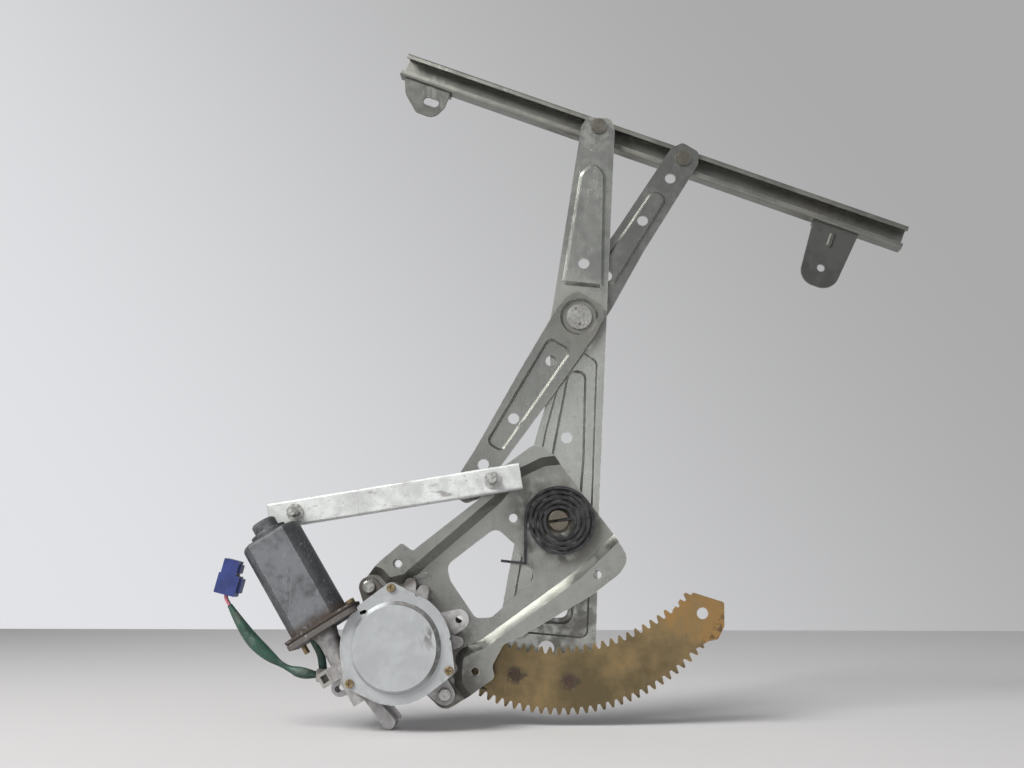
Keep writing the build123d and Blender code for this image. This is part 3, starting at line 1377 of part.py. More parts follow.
# =============================================================================================
# Motor lead
# =============================================================================================
LEAD_DEPTH = -15.0
SLEEVE_TUBE_R = 3.4
WIRE_R = 1.0
STUB_SIDE = 10.6  # from the motor axis, under the housing's flange
STUB_START = polar(STUB_SIDE, WORM_SIDE, polar(TUNNEL_START + NECK_FLANGE, WORM_LEAN, WORM_CENTRE))
STUB_ROUTE = [STUB_START, polar(11.0, WORM_LEAN, STUB_START), (-160.3, -101.0)]
LEAD_ROUTE = [
    (-164.0, -104.4),
    (-174.0, -103.7),
    (-186.3, -99.5),
    (-199.7, -90.8),
    (-214.3, -77.2),
    (-226.4, -58.1),
]
WIRE_ROUTE = [(-226.45, -58.0), (-229.3, -53.4), (-229.1, -49.6)]
PLUG_LEAN = 76.0
PLUG_BASE = (-229.6, -50.9)


def bend_radii(route):
    """Radius at each inner point: the arcs use up 45 % of the shorter run beside them."""
    radii = []
    for before, at, after in zip(route, route[1:], route[2:]):
        run_in = (at[0] - before[0], at[1] - before[1])
        run_out = (after[0] - at[0], after[1] - at[1])
        shorter = min(hypot(*run_in), hypot(*run_out))
        turn = atan2(
            run_in[0] * run_out[1] - run_in[1] * run_out[0],
            run_in[0] * run_out[0] + run_in[1] * run_out[1],
        )
        radii.append(0.45 * shorter / tan(abs(turn) / 2))
    return radii


def tube(route, radius, depth):
    """Round cord that follows a route of straight runs and tangent arcs."""
    lean = degrees(atan2(route[1][1] - route[0][1], route[1][0] - route[0][0]))
    with BuildPart() as solid:
        with BuildLine(layer(depth)) as path:
            FilletPolyline(*route, radius=bend_radii(route))
        with BuildSketch(across(0, route[0], lean, depth)):
            Circle(radius)
        sweep(path=path.line)
    return solid.part


print("bend radii of the lead", [round(radius, 1) for radius in bend_radii(LEAD_ROUTE)])

with BuildPart() as motor_lead:
    add(tube(LEAD_ROUTE, SLEEVE_TUBE_R, LEAD_DEPTH))
save(motor_lead, "motor_lead")

with BuildPart() as lead_stub:
    add(tube(STUB_ROUTE, SLEEVE_TUBE_R - 0.6, LEAD_DEPTH))
save(lead_stub, "lead_stub")

with BuildPart() as lead_wires:
    for side in (-1.3, 1.3):
        add(tube(WIRE_ROUTE, WIRE_R, LEAD_DEPTH + side))
save(lead_wires, "lead_wires")

CLIP_HALF = 4.6
with BuildPart() as cable_clip:
    with BuildSketch(layer(LEAD_DEPTH + CLIP_HALF)):
        add(rounded([
            (-164.0, -100.2, 1),
            (-155.5, -100.2, 1),
            (-154.4, -103.0, 1),
            (-153.4, -108.8, 1),
            (-164.0, -108.8, 1),
        ]))
    extrude(amount=2 * CLIP_HALF)
    with BuildSketch(motor(CLIP_PAD[0])):
        with Locations((-CLIP_PAD_SIDE - 4.0, 2.0)):
            Rectangle(8.0, 9.0)
    extrude(amount=CLIP_PAD[1] - CLIP_PAD[0])
    with BuildSketch(motor(CLIP_PAD[0] + 2.4)):
        with Locations((-CLIP_PAD_SIDE - 3.8, 5.0)):
            Rectangle(4.6, 5.0)
    extrude(amount=CLIP_PAD[1] - CLIP_PAD[0] - 4.8, mode=Mode.SUBTRACT)
    add(lead_stub.part, mode=Mode.SUBTRACT)
    add(motor_lead.part, mode=Mode.SUBTRACT)
save(cable_clip, "cable_clip")

PLUG_HALF = 4.8
SOCKET_HALF = 2.7
with BuildPart() as plug:
    with BuildSketch(layer(LEAD_DEPTH + PLUG_HALF, PLUG_BASE, PLUG_LEAN)):
        with Locations((7.0, 0)):
            RectangleRounded(14.0, 15.0, 0.6)
        with Locations((12.0, 0.8)):
            RectangleRounded(24.0, 11.0, 0.6)
    extrude(amount=2 * PLUG_HALF)
    with BuildSketch(layer(LEAD_DEPTH + PLUG_HALF - 1.5, PLUG_BASE, PLUG_LEAN)):
        with Locations((8.0, -8.2)):
            RectangleRounded(10.0, 3.4, 0.5)
        with Locations((19.0, -5.4)):
            RectangleRounded(6.0, 2.4, 0.5)
    extrude(amount=2 * PLUG_HALF - 3.0)
    with BuildSketch(layer(LEAD_DEPTH + SOCKET_HALF, PLUG_BASE, PLUG_LEAN)):
        with Locations((24.0, 0.8)):
            Rectangle(14.0, 8.2)
    extrude(amount=2 * SOCKET_HALF, mode=Mode.SUBTRACT)
    add(lead_wires.part, mode=Mode.SUBTRACT)
save(plug, "plug")
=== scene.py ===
import math

import bpy
import numpy as np
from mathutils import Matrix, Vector


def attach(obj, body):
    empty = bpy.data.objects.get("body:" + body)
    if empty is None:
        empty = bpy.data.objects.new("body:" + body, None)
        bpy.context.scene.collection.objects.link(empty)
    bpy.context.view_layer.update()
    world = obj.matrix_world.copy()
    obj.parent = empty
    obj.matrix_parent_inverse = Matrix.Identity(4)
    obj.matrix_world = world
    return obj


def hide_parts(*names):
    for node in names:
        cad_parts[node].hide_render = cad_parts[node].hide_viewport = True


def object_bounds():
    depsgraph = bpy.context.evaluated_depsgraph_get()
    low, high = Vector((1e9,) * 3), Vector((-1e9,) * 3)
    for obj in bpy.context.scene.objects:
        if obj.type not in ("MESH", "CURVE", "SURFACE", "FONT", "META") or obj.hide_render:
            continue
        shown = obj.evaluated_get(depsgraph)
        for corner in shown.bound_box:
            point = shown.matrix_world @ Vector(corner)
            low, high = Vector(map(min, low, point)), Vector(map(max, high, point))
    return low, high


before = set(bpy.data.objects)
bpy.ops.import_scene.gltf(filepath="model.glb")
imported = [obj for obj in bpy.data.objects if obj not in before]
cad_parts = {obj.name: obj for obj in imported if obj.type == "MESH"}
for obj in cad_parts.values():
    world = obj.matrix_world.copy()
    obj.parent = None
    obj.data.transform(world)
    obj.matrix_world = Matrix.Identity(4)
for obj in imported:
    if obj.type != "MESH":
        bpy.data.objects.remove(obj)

# The CAD model's own box, kept before anything is added to it.
CAD_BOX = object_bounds()

bl_info = {
    "name": "Window Regulator",
    "version": (1, 0, 0),
    "blender": (4, 5, 0),
    "location": "View3D > Sidebar > Regulator",
    "description": "Finishes, wiring, threads, grease and stage of a scissor-arm window regulator",
    "category": "Object",
}

MM = 0.001

# Fixed points of the mechanism in the model's frame, in metres.
MAIN_PIVOT = (0.0, 0.013, 0.0)
CROSS_PIVOT = (0.0162, 0.013, 0.1491)
LIFT_PIN = (0.0324, 0.029, 0.2982)
EQUALISER_PIN = (0.0964, 0.0, 0.2735)
GUIDE_PIN = (-0.0640, -0.005, 0.0247)
GEAR_SHAFT = (-0.1104, -0.030, -0.0861)
COVER_CENTRE = (-0.1086, -0.033, -0.0852)
RIGHT_STUD = (-0.0456, -0.010, 0.0276)
SECTOR_RIVETS = [(-0.0307, 0.0136, -0.1066), (0.0064, 0.0136, -0.1105)]
TEETH_IN_MESH = (-0.092, 0.0136, -0.075)
WORM_CENTRE = (-0.14067, -0.022, -0.10465)


def in_door_plane(degrees):
    """The unit direction in the XZ plane at an angle above the X axis."""
    return (math.cos(math.radians(degrees)), 0.0, math.sin(math.radians(degrees)))


ACROSS = (0.0, 1.0, 0.0)
MOTOR_AXIS = in_door_plane(-58.5)
GUIDE_RAIL_LINE = in_door_plane(9.0)
STUDS_ALONG = {"left_stud_thread": -0.1220, "right_stud_thread": 0.0186}
THREAD_START, THREAD_END = -11.5 * MM, -22.8 * MM
THREAD_ROOT, THREAD_CREST = 2.92 * MM, 3.22 * MM
SECTOR_PITCH_RADIUS = 0.132
GREASE_RADIUS = SECTOR_PITCH_RADIUS - 4.6 * MM
GREASE_ARC = (221.0, 247.0)
GREASE_DEPTH = 12.1 * MM
GREASE_SEED = 5

# Control points of the motor lead, from the clip to the wires, in metres.
LEAD_ROUTE = [
    (-0.1640, -0.015, -0.1044),
    (-0.1740, -0.015, -0.1037),
    (-0.1863, -0.015, -0.0995),
    (-0.1997, -0.015, -0.0908),
    (-0.2143, -0.015, -0.0772),
    (-0.2264, -0.015, -0.0581),
]
LEAD_GIRTH = [0.55, 1.45, 0.30, 1.35, 1.40, 0.50]  # the sleeve is pinched between two swells

# The stage: the camera, how far the floor and the wall reach, and the lamps.
SENSOR_WIDTH = 36.0
FOCAL_LENGTH = SENSOR_WIDTH * 1100.0 / 1024.0
CAMERA_PLACE = (0.0039, -0.7770, -0.0385)
CAMERA_LINE = (-0.0463, 0.9840, 0.1721)
STAGE_REACH = 6.0
WALL_PLACE = 1.4
WALL_TOP = 5.0
LAMP_AIM = (-0.03, 0.0, 0.08)
LOW_AIM = (0.0, 0.0, 0.02)
LAMP_SPREAD = math.radians(100.0)  # the lamps light the object and not the floor below themselves

# Colours of dirt and of bare metal, as RGBA. The sheet's and the cover's grime colours also carry
# painted shade.
SPECK_BROWN = (0.09, 0.055, 0.035, 1.0)
SHEET_GRIME_AND_SHADE = (0.075, 0.062, 0.048, 1.0)
ZINC_GRIME = (0.06, 0.048, 0.035, 1.0)
SCRATCHED_FILM = (0.50, 0.45, 0.34, 1.0)
RUBBED_FILM = (0.60, 0.54, 0.42, 1.0)
BLACK_GREASE = (0.036, 0.024, 0.016, 1.0)
COIL_DUST = (0.085, 0.062, 0.042, 1.0)
RUBBED_SPRING = (0.22, 0.21, 0.20, 1.0)
CAST_GRIME = (0.052, 0.041, 0.032, 1.0)
COVER_GRIME_AND_SHADE = (0.085, 0.075, 0.065, 1.0)
SCRATCHED_PAINT = (0.42, 0.43, 0.44, 1.0)
CHIPPED_PAINT = (0.50, 0.49, 0.47, 1.0)
FLANGE_RUST = (0.066, 0.048, 0.037, 1.0)
RAIL_SMEAR = (0.11, 0.095, 0.08, 1.0)
RAIL_RUST = (0.105, 0.062, 0.036, 1.0)
BROWN_OIL = (0.07, 0.05, 0.035, 1.0)
PLASTIC_GRIME = (0.045, 0.038, 0.030, 1.0)
SLEEVE_DUST = (0.26, 0.27, 0.24, 1.0)
PALE_WIRE = (0.72, 0.60, 0.58, 1.0)
WIRE_DIRT = (0.12, 0.06, 0.06, 1.0)


# ---------------------------------------------------------------- shader maths


class Signal:
    """One socket of a finish's node tree. Arithmetic on it adds Math nodes."""

    def __init__(self, finish, socket):
        self.finish = finish
        self.socket = socket

    def _maths(self, operation, first, second=0.0):
        return self.finish.node("ShaderNodeMath", {"operation": operation}, {0: first, 1: second})

    def __add__(self, other):
        return self._maths("ADD", self, other)

    def __radd__(self, other):
        return self._maths("ADD", other, self)

    def __sub__(self, other):
        return self._maths("SUBTRACT", self, other)

    def __rsub__(self, other):
        return self._maths("SUBTRACT", other, self)

    def __mul__(self, other):
        return self._maths("MULTIPLY", self, other)

    def __rmul__(self, other):
        return self._maths("MULTIPLY", other, self)

    def __pow__(self, other):
        return self._maths("POWER", self, other)

    def __abs__(self):
        return self._maths("ABSOLUTE", self)

    def most(self, other):
        return self._maths("MAXIMUM", self, other)

    def least(self, other):
        return self._maths("MINIMUM", self, other)

    def sine(self):
        return self._maths("SINE", self)


class Finish:
    """A material, and the patterns from which its surface is mixed."""

    def __init__(self, name):
        self.material = bpy.data.materials.new(name)
        self.material.use_nodes = True
        self.tree = self.material.node_tree
        self.tree.nodes.clear()
        self.place = self.node("ShaderNodeTexCoord", output="Object")

    def node(self, kind, settings=None, sockets=None, output=0):
        """Adds a node: its settings first, then its sockets' values or links."""
        made = self.tree.nodes.new(kind)
        for name, value in (settings or {}).items():
            if name == "stops":
                while len(made.color_ramp.elements) < len(value):
                    made.color_ramp.elements.new(1.0)
                for element, (position, colour) in zip(made.color_ramp.elements, value):
                    element.position = position
                    element.color = colour
            else:
                setattr(made, name, value)
        for key, value in (sockets or {}).items():
            if isinstance(value, Signal):
                self.tree.links.new(value.socket, made.inputs[key])
            else:
                made.inputs[key].default_value = value
        return Signal(self, made.outputs[output]) if len(made.outputs) else None

    def step(self, value, low, high):
        """A smooth step of value, from 0 at low to 1 at high."""
        sockets = {"Value": value, "From Min": low, "From Max": high}
        return self.node("ShaderNodeMapRange", {"interpolation_type": "SMOOTHSTEP"}, sockets)

    def mix(self, first, second, amount):
        """The first colour where amount is 0, and the second where it is 1."""
        sockets = {0: amount, 6: first, 7: second}
        return self.node("ShaderNodeMix", {"data_type": "RGBA"}, sockets, output=2)

    def mapped(self, stretch=(1.0, 1.0, 1.0), turn=0.0, shift=0.0):
        """Object coordinates, shifted, turned about Y and stretched."""
        sockets = {
            "Vector": self.place,
            "Location": (shift, 0.7 * shift, 1.3 * shift),
            "Rotation": (0.0, turn, 0.0),
            "Scale": stretch,
        }
        return self.node("ShaderNodeMapping", {}, sockets)

    def cloud(self, size, detail=4.0, stretch=(1.0, 1.0, 1.0), turn=0.0, shift=0.0):
        """Soft noise about 0.5, with lumps about size metres across."""
        at = self.mapped(stretch, turn, shift)
        sockets = {"Vector": at, "Scale": 1.0 / size, "Detail": detail, "Roughness": 0.55}
        return self.node("ShaderNodeTexNoise", {}, sockets)

    def cells(self, size, shift):
        """Distance to the nearest of scattered points, in units of size."""
        sockets = {"Vector": self.mapped(shift=shift), "Scale": 1.0 / size}
        return self.node("ShaderNodeTexVoronoi", {}, sockets)

    def specks(self, size, share, shift):
        """Round spots of up to size metres on a share of the surface."""
        spot = self.step(self.cells(3.0 * size, shift), 0.22, 0.08)
        spread = self.cloud(9.0 * size, 2.0, shift=shift + 3.1)
        return spot * self.step(spread, 0.62 - share, 0.72 - share)

    def scratches(self, turn, shift, width=0.006):
        """Long thin lines across the sheet, broken up by a wide noise."""
        line = self.cloud(3.0 * MM, 2.0, (1.0, 0.2, 0.03), turn, shift)
        kept = self.step(self.cloud(22.0 * MM, 2.0, shift=shift + 5.0), 0.50, 0.62)
        return self.step(abs(line - 0.5), width, 0.0) * kept

    def vectors(self, operation, first, second, output="Value"):
        """One operation on two vectors."""
        sockets = {0: first, 1: second}
        return self.node("ShaderNodeVectorMath", {"operation": operation}, sockets, output)

    def edges(self, width):
        """1 on a sharp edge, and 0 a width away from it."""
        rounded = self.node("ShaderNodeBevel", {"samples": 6}, {"Radius": width})
        flat = self.node("ShaderNodeNewGeometry", output="Normal")
        return self.step(self.vectors("DOT_PRODUCT", rounded, flat), 0.985, 0.86)

    def hollows(self, reach):
        """1 deep in a corner or a slot, and 0 in the open."""
        air = self.node("ShaderNodeAmbientOcclusion", {"samples": 6}, {"Distance": reach}, "AO")
        return self.step(air, 0.80, 0.25)

    def near(self, point, inner, outer):
        """1 within the inner distance of a point, and 0 past the outer one."""
        return self.step(self.vectors("DISTANCE", self.place, point), outer, inner)

    def round_axis(self, point):
        """Distance from the line through a point that runs along Y."""
        flat = self.vectors("MULTIPLY", self.place, (1.0, 0.0, 1.0), "Vector")
        return self.vectors("DISTANCE", flat, (point[0], 0.0, point[2]))

    def along(self, direction, point=(0.0, 0.0, 0.0)):
        """Distance past a point along a unit direction."""
        start = sum(a * b for a, b in zip(direction, point))
        return self.vectors("DOT_PRODUCT", self.place, direction) - start

    def facing(self, direction):
        """How far the surface faces a direction, from 0 to 1."""
        normal = self.node("ShaderNodeTexCoord", output="Normal")
        return self.vectors("DOT_PRODUCT", normal, direction).most(0.0)

    def shade(self, colour, roughness, metallic=0.0, height=None, depth=0.1 * MM, **fixed):
        """Ends the finish in a shader. Height is a relief, depth metres deep."""
        sockets = {"Base Color": colour, "Roughness": roughness, "Metallic": metallic}
        if height is not None:
            relief = {"Strength": 1.0, "Distance": depth, "Height": height}
            sockets["Normal"] = self.node("ShaderNodeBump", {}, relief)
        sockets.update({name.replace("_", " "): value for name, value in fixed.items()})
        shader = self.node("ShaderNodeBsdfPrincipled", {}, sockets)
        self.node("ShaderNodeOutputMaterial", {}, {"Surface": shader})
        return self.material


def tint(colour, scale=1.0, warmth=0.0):
    """A colour made lighter or darker by scale and warmer by warmth, as RGBA."""
    scales = (scale * (1.0 + warmth), scale, scale * (1.0 - warmth))
    return (*(min(part * by, 1.0) for part, by in zip(tuple(colour)[:3], scales)), 1.0)


def dress(material, *names):
    """Puts one finish on these nodes of the model."""
    for name in names:
        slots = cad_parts[name].data.materials
        if len(slots) == 0:
            slots.append(material)
        for index in range(len(slots)):
            slots[index] = material


# ---------------------------------------------------------------- finishes


def sheet_zinc(name, colour, dirt, gloss, stains_and_shade, turn):
    """Passivated zinc on pressed steel: mottled, ringed by dried drops, grimy in the folds, and
    darkened in patches about given points: oil at the pivots, and on the plate painted shade
    around the gear housing and the spring.
    """
    made = Finish(name)
    broad = made.cloud(48.0 * MM, 3.0, shift=turn)
    mottle = made.cloud(7.0 * MM, 6.0, shift=1.0 + turn)
    drawn = made.cloud(2.4 * MM, 3.0, (1.0, 1.0, 0.08), turn, 2.0)
    tone = made.step(broad * 0.55 + mottle * 0.35 + drawn * 0.10, 0.38, 0.60)
    base = made.mix(tint(colour, 0.88), tint(colour, 1.08), tone)
    ring = made.step(abs(made.cloud(17.0 * MM, 2.0, shift=4.0 + turn) - 0.56), 0.014, 0.0)
    base = made.mix(base, tint(colour, 1.25, 0.02), ring * made.step(mottle, 0.46, 0.60) * 0.25)
    lines = made.scratches(turn + 0.5, 1.0).most(made.scratches(turn - 0.9, 7.0))
    base = made.mix(base, tint(colour, 1.4), lines * 0.35)
    specks = made.specks(0.7 * MM, 0.05, 2.0)
    base = made.mix(base, SPECK_BROWN, specks * 0.8)
    grime_and_shade = made.hollows(7.0 * MM) * made.step(mottle, 0.30, 0.66)
    patchy = made.step(broad * 0.5 + mottle * 0.5, 0.40, 0.56)
    # Dark patches about given points: oil at the pivots, and on the plate painted shade around the
    # housing and the spring.
    for point, inner, outer, amount in stains_and_shade:
        grime_and_shade = grime_and_shade.most(made.near(point, inner, outer) * patchy * amount)
    grime_and_shade = (grime_and_shade * dirt).least(1.0)
    base = made.mix(base, SHEET_GRIME_AND_SHADE, grime_and_shade * 0.85)
    worn = made.edges(0.9 * MM) * made.step(made.cloud(5.0 * MM, 3.0, shift=6.0), 0.40, 0.58)
    worn = worn * (1.0 - grime_and_shade)
    base = made.mix(base, tint(colour, 1.9), worn * 0.85)
    rough = (gloss + tone * 0.06 + grime_and_shade * 0.34 - worn * 0.08 - lines * 0.06).least(0.95)
    metal = 0.92 - grime_and_shade * 0.66 - specks * 0.5
    relief = mottle * 0.22 + drawn * 0.12 + made.cloud(0.9 * MM, 2.0) * 0.12
    relief = relief - lines * 0.15 - specks * 0.5 + grime_and_shade * 0.25
    return made.shade(base, rough, metal, relief, 0.10 * MM)


def bright_zinc(name, colour, gloss):
    """Fresh zinc on small fixings, dulled in the corners and rubbed on the edges."""
    made = Finish(name)
    mottle = made.cloud(2.2 * MM, 5.0)
    base = made.mix(tint(colour, 0.72), tint(colour, 1.12), made.step(mottle, 0.36, 0.62))
    grime_and_shade = made.hollows(2.5 * MM) * made.step(made.cloud(3.0 * MM, 3.0, shift=2.0), 0.34, 0.60)
    base = made.mix(base, ZINC_GRIME, grime_and_shade * 0.85)
    worn = made.edges(0.35 * MM) * (1.0 - grime_and_shade)
    base = made.mix(base, tint(colour, 1.45), worn * 0.7)
    rough = gloss + made.step(mottle, 0.35, 0.65) * 0.14 + grime_and_shade * 0.35
    relief = mottle * 0.4 + made.cloud(0.5 * MM) * 0.25
    return made.shade(base, rough, 0.92 - grime_and_shade * 0.7, relief, 0.06 * MM)


def chromate_sector(colour):
    """Yellow passivate that runs from olive to orange-brown, with black grease on the teeth."""
    made = Finish("Yellow_passivate")
    film = made.cloud(62.0 * MM, 2.0, shift=0.3) * 0.7 + made.cloud(9.0 * MM, 5.0, shift=2.2) * 0.3
    stops = [
        (0.38, tint(colour, 0.66, -0.04)),
        (0.47, tint(colour, 0.95)),
        (0.54, tint(colour, 1.18, 0.05)),
        (0.62, tint(colour, 1.30, 0.22)),
    ]
    base = made.node("ShaderNodeValToRGB", {"stops": stops}, {"Fac": film})
    lines = made.scratches(0.2, 3.0).most(made.scratches(1.3, 9.0))
    base = made.mix(base, SCRATCHED_FILM, lines * 0.35)
    inner, outer = SECTOR_PITCH_RADIUS - 5.0 * MM, SECTOR_PITCH_RADIUS + 1.0 * MM
    teeth = made.step(made.round_axis(MAIN_PIVOT), inner, outer)
    lumps = made.cloud(3.5 * MM, 5.0, shift=5.0)
    grease = teeth * made.step(lumps, 0.47, 0.60) * 0.8
    meshed = made.near(TEETH_IN_MESH, 24.0 * MM, 66.0 * MM)
    grease = grease.most(meshed * made.step(lumps, 0.36, 0.52))
    for x, y, z in SECTOR_RIVETS:
        drip = made.near((x + 6.0 * MM, y, z), 1.5 * MM, 4.0 * MM)
        ooze = made.near((x, y, z), 4.0 * MM, 8.5 * MM).most(drip)
        grease = grease.most(ooze * made.step(lumps, 0.38, 0.50) * 0.9)
    grease = grease.least(1.0)
    base = made.mix(base, BLACK_GREASE, grease * 0.92)
    worn = made.edges(0.7 * MM) * (1.0 - grease) * made.step(lumps, 0.38, 0.56)
    base = made.mix(base, RUBBED_FILM, worn * 0.75)
    rough = 0.32 + made.step(film, 0.4, 0.6) * 0.10 - grease * 0.08
    relief = film * 0.2 + lumps * grease * 1.2 + made.cloud(0.9 * MM) * 0.12 - lines * 0.2
    return made.shade(base, rough, 0.84 - grease * 0.80, relief, 0.25 * MM)


def oiled_spring(colour):
    """Black oiled strip, brown dust between the coils and a dull shine on the rubbed edges."""
    made = Finish("Oiled_spring_steel")
    mottle = made.cloud(4.0 * MM, 5.0)
    base = made.mix(tint(colour, 0.6), tint(colour, 1.5), made.step(mottle, 0.36, 0.62))
    dust_and_sheen = made.hollows(3.0 * MM) * made.step(made.cloud(6.0 * MM, 4.0, shift=3.0), 0.40, 0.60)
    base = made.mix(base, COIL_DUST, dust_and_sheen * 0.7)
    worn = made.edges(0.4 * MM) * made.step(made.cloud(5.0 * MM, 3.0, shift=7.0), 0.42, 0.58)
    base = made.mix(base, RUBBED_SPRING, worn * 0.55)
    rough = 0.40 + made.step(mottle, 0.4, 0.6) * 0.15 + dust_and_sheen * 0.3
    relief = mottle * 0.4 + made.cloud(0.7 * MM) * 0.3
    return made.shade(base, rough, 0.35 + worn * 0.4, relief, 0.10 * MM)


def cast_alloy(colour):
    """Die-cast skin: sandy grain, flow marks, grime in the corners, bright fettled edges."""
    made = Finish("Cast_alloy")
    grain = made.cloud(0.55 * MM, 4.0)
    flow = made.cloud(18.0 * MM, 5.0, (1.0, 1.0, 0.45), 0.6)
    mottle = made.cloud(4.0 * MM, 5.0, shift=2.0)
    tone = made.step(flow * 0.55 + mottle * 0.30 + grain * 0.15, 0.40, 0.60)
    base = made.mix(tint(colour, 0.62, 0.02), tint(colour, 1.12), tone)
    grime_and_shade = made.hollows(6.0 * MM) * made.step(mottle, 0.30, 0.58)
    oily = made.near(GEAR_SHAFT, 36.0 * MM, 56.0 * MM) * made.step(flow, 0.52, 0.60) * 0.6
    neck = made.step(made.along(MOTOR_AXIS, WORM_CENTRE), -28.0 * MM, -34.0 * MM)
    neck = neck * made.step(mottle, 0.20, 0.46)
    grime_and_shade = grime_and_shade.most(oily).most(neck * 0.92).least(1.0)
    base = made.mix(base, CAST_GRIME, grime_and_shade * 0.94)
    worn = made.edges(0.8 * MM) * (1.0 - grime_and_shade)
    base = made.mix(base, tint(colour, 1.5), worn * 0.6)
    rough = 0.46 + tone * 0.08 + grime_and_shade * 0.25 - worn * 0.10
    relief = grain * 0.5 + mottle * 0.5 + grime_and_shade * 0.3
    return made.shade(base, rough, 0.80 - grime_and_shade * 0.7, relief, 0.18 * MM)


def cover_sheet(colour):
    """Thin pale sheet over the gears: even, with a dark smudge right of the centre, and painted
    shade on the faces that look right and up, which darkens the wall at its right.
    """
    made = Finish("Cover_sheet")
    broad = made.cloud(20.0 * MM, 4.0)
    mottle = made.cloud(4.5 * MM, 6.0, shift=1.0)
    tone = made.step(broad * 0.6 + mottle * 0.4, 0.40, 0.60)
    base = made.mix(tint(colour, 0.95), tint(colour, 1.04), tone)
    lines = made.scratches(0.7, 1.0).most(made.scratches(-0.4, 5.0, 0.004))
    base = made.mix(base, tint(colour, 1.2), lines * 0.35)
    # A dark smudge right of the centre, over the right side of the raised disc.
    mark = (COVER_CENTRE[0] + 24.0 * MM, -0.037, COVER_CENTRE[2] + 7.0 * MM)
    right_smudge = made.step(made.cloud(3.0 * MM, 4.0, (1.0, 1.0, 0.4), 0.2, 2.0), 0.46, 0.62)
    right_smudge = made.near(mark, 2.0 * MM, 11.0 * MM) * right_smudge
    rim = made.step(made.round_axis(COVER_CENTRE), 33.0 * MM, 39.0 * MM)
    rim = rim * made.step(mottle, 0.44, 0.62) * 0.5
    # Painted shade: faces that look right and up are darkened towards the cover's grime colour,
    # standing in for the shade on the raised disc's right wall.
    painted_wall_shade = made.step(made.facing((0.88, 0.0, 0.48)), 0.16, 0.46) * made.step(mottle, 0.20, 0.50)
    corners = made.hollows(3.0 * MM) * made.step(mottle, 0.30, 0.54)
    # The dark mask: the smudge, the rim, the corners, and the painted shade on the right-facing
    # faces.
    grime_and_shade = right_smudge.most(rim).most(corners).most(painted_wall_shade).least(1.0)
    base = made.mix(base, COVER_GRIME_AND_SHADE, grime_and_shade * 0.75)
    worn = made.edges(0.7 * MM) * (1.0 - grime_and_shade)
    base = made.mix(base, tint(colour, 1.4), worn * 0.7)
    rough = 0.42 + tone * 0.10 + grime_and_shade * 0.25 - lines * 0.1
    relief = mottle * 0.3 + made.cloud(0.8 * MM) * 0.2 - lines * 0.3
    return made.shade(base, rough, 0.62 - grime_and_shade * 0.5, relief, 0.10 * MM)


def can_paint(colour):
    """Dark paint on the drawn can: painted light that makes the front-facing faces paler in
    patches, chipped on the edges, rusty at the flange.
    """
    made = Finish("Can_paint")
    mottle = made.cloud(5.0 * MM, 6.0)
    broad = made.cloud(20.0 * MM, 3.0, shift=2.0)
    base = made.mix(tint(colour, 0.80), tint(colour, 1.15), made.step(mottle, 0.36, 0.64))
    # Painted light: faces that look to the front, towards −Y, are made up to five times paler in
    # broad patches, standing in for the light on the can's front flat.
    dust_and_sheen = made.facing((0.0, -1.0, 0.0)) ** 3.0 * made.step(broad * 0.6 + mottle * 0.4, 0.26, 0.58)
    base = made.mix(base, tint(colour, 5.2), dust_and_sheen * 0.75)
    lines = made.scratches(0.5, 1.0).most(made.scratches(-0.8, 6.0))
    lines = lines.most(made.scratches(1.4, 11.0))
    base = made.mix(base, SCRATCHED_PAINT, lines * 0.6)
    chipped = made.edges(1.2 * MM) * made.step(made.cloud(2.6 * MM, 5.0, shift=4.0), 0.44, 0.54)
    chipped = chipped.most(made.specks(0.9 * MM, 0.012, 4.0))
    base = made.mix(base, CHIPPED_PAINT, chipped * 0.85)
    foot = made.step(made.along(MOTOR_AXIS, WORM_CENTRE), -49.0 * MM, -41.0 * MM)
    rust = foot * made.step(made.cloud(3.0 * MM, 5.0, shift=8.0), 0.28, 0.46)
    base = made.mix(base, FLANGE_RUST, rust * 0.92)
    rough = 0.44 + dust_and_sheen * 0.22 + rust * 0.3 - chipped * 0.1
    relief = made.cloud(0.7 * MM, 2.0) * 0.3 + mottle * 0.2
    relief = relief + rust * made.cloud(1.2 * MM, 4.0) * 0.8 - chipped * 0.5
    metal = (chipped * 0.75 + lines * 0.4) * (1.0 - rust)
    return made.shade(base, rough, metal, relief, 0.14 * MM, Specular_IOR_Level=0.45)


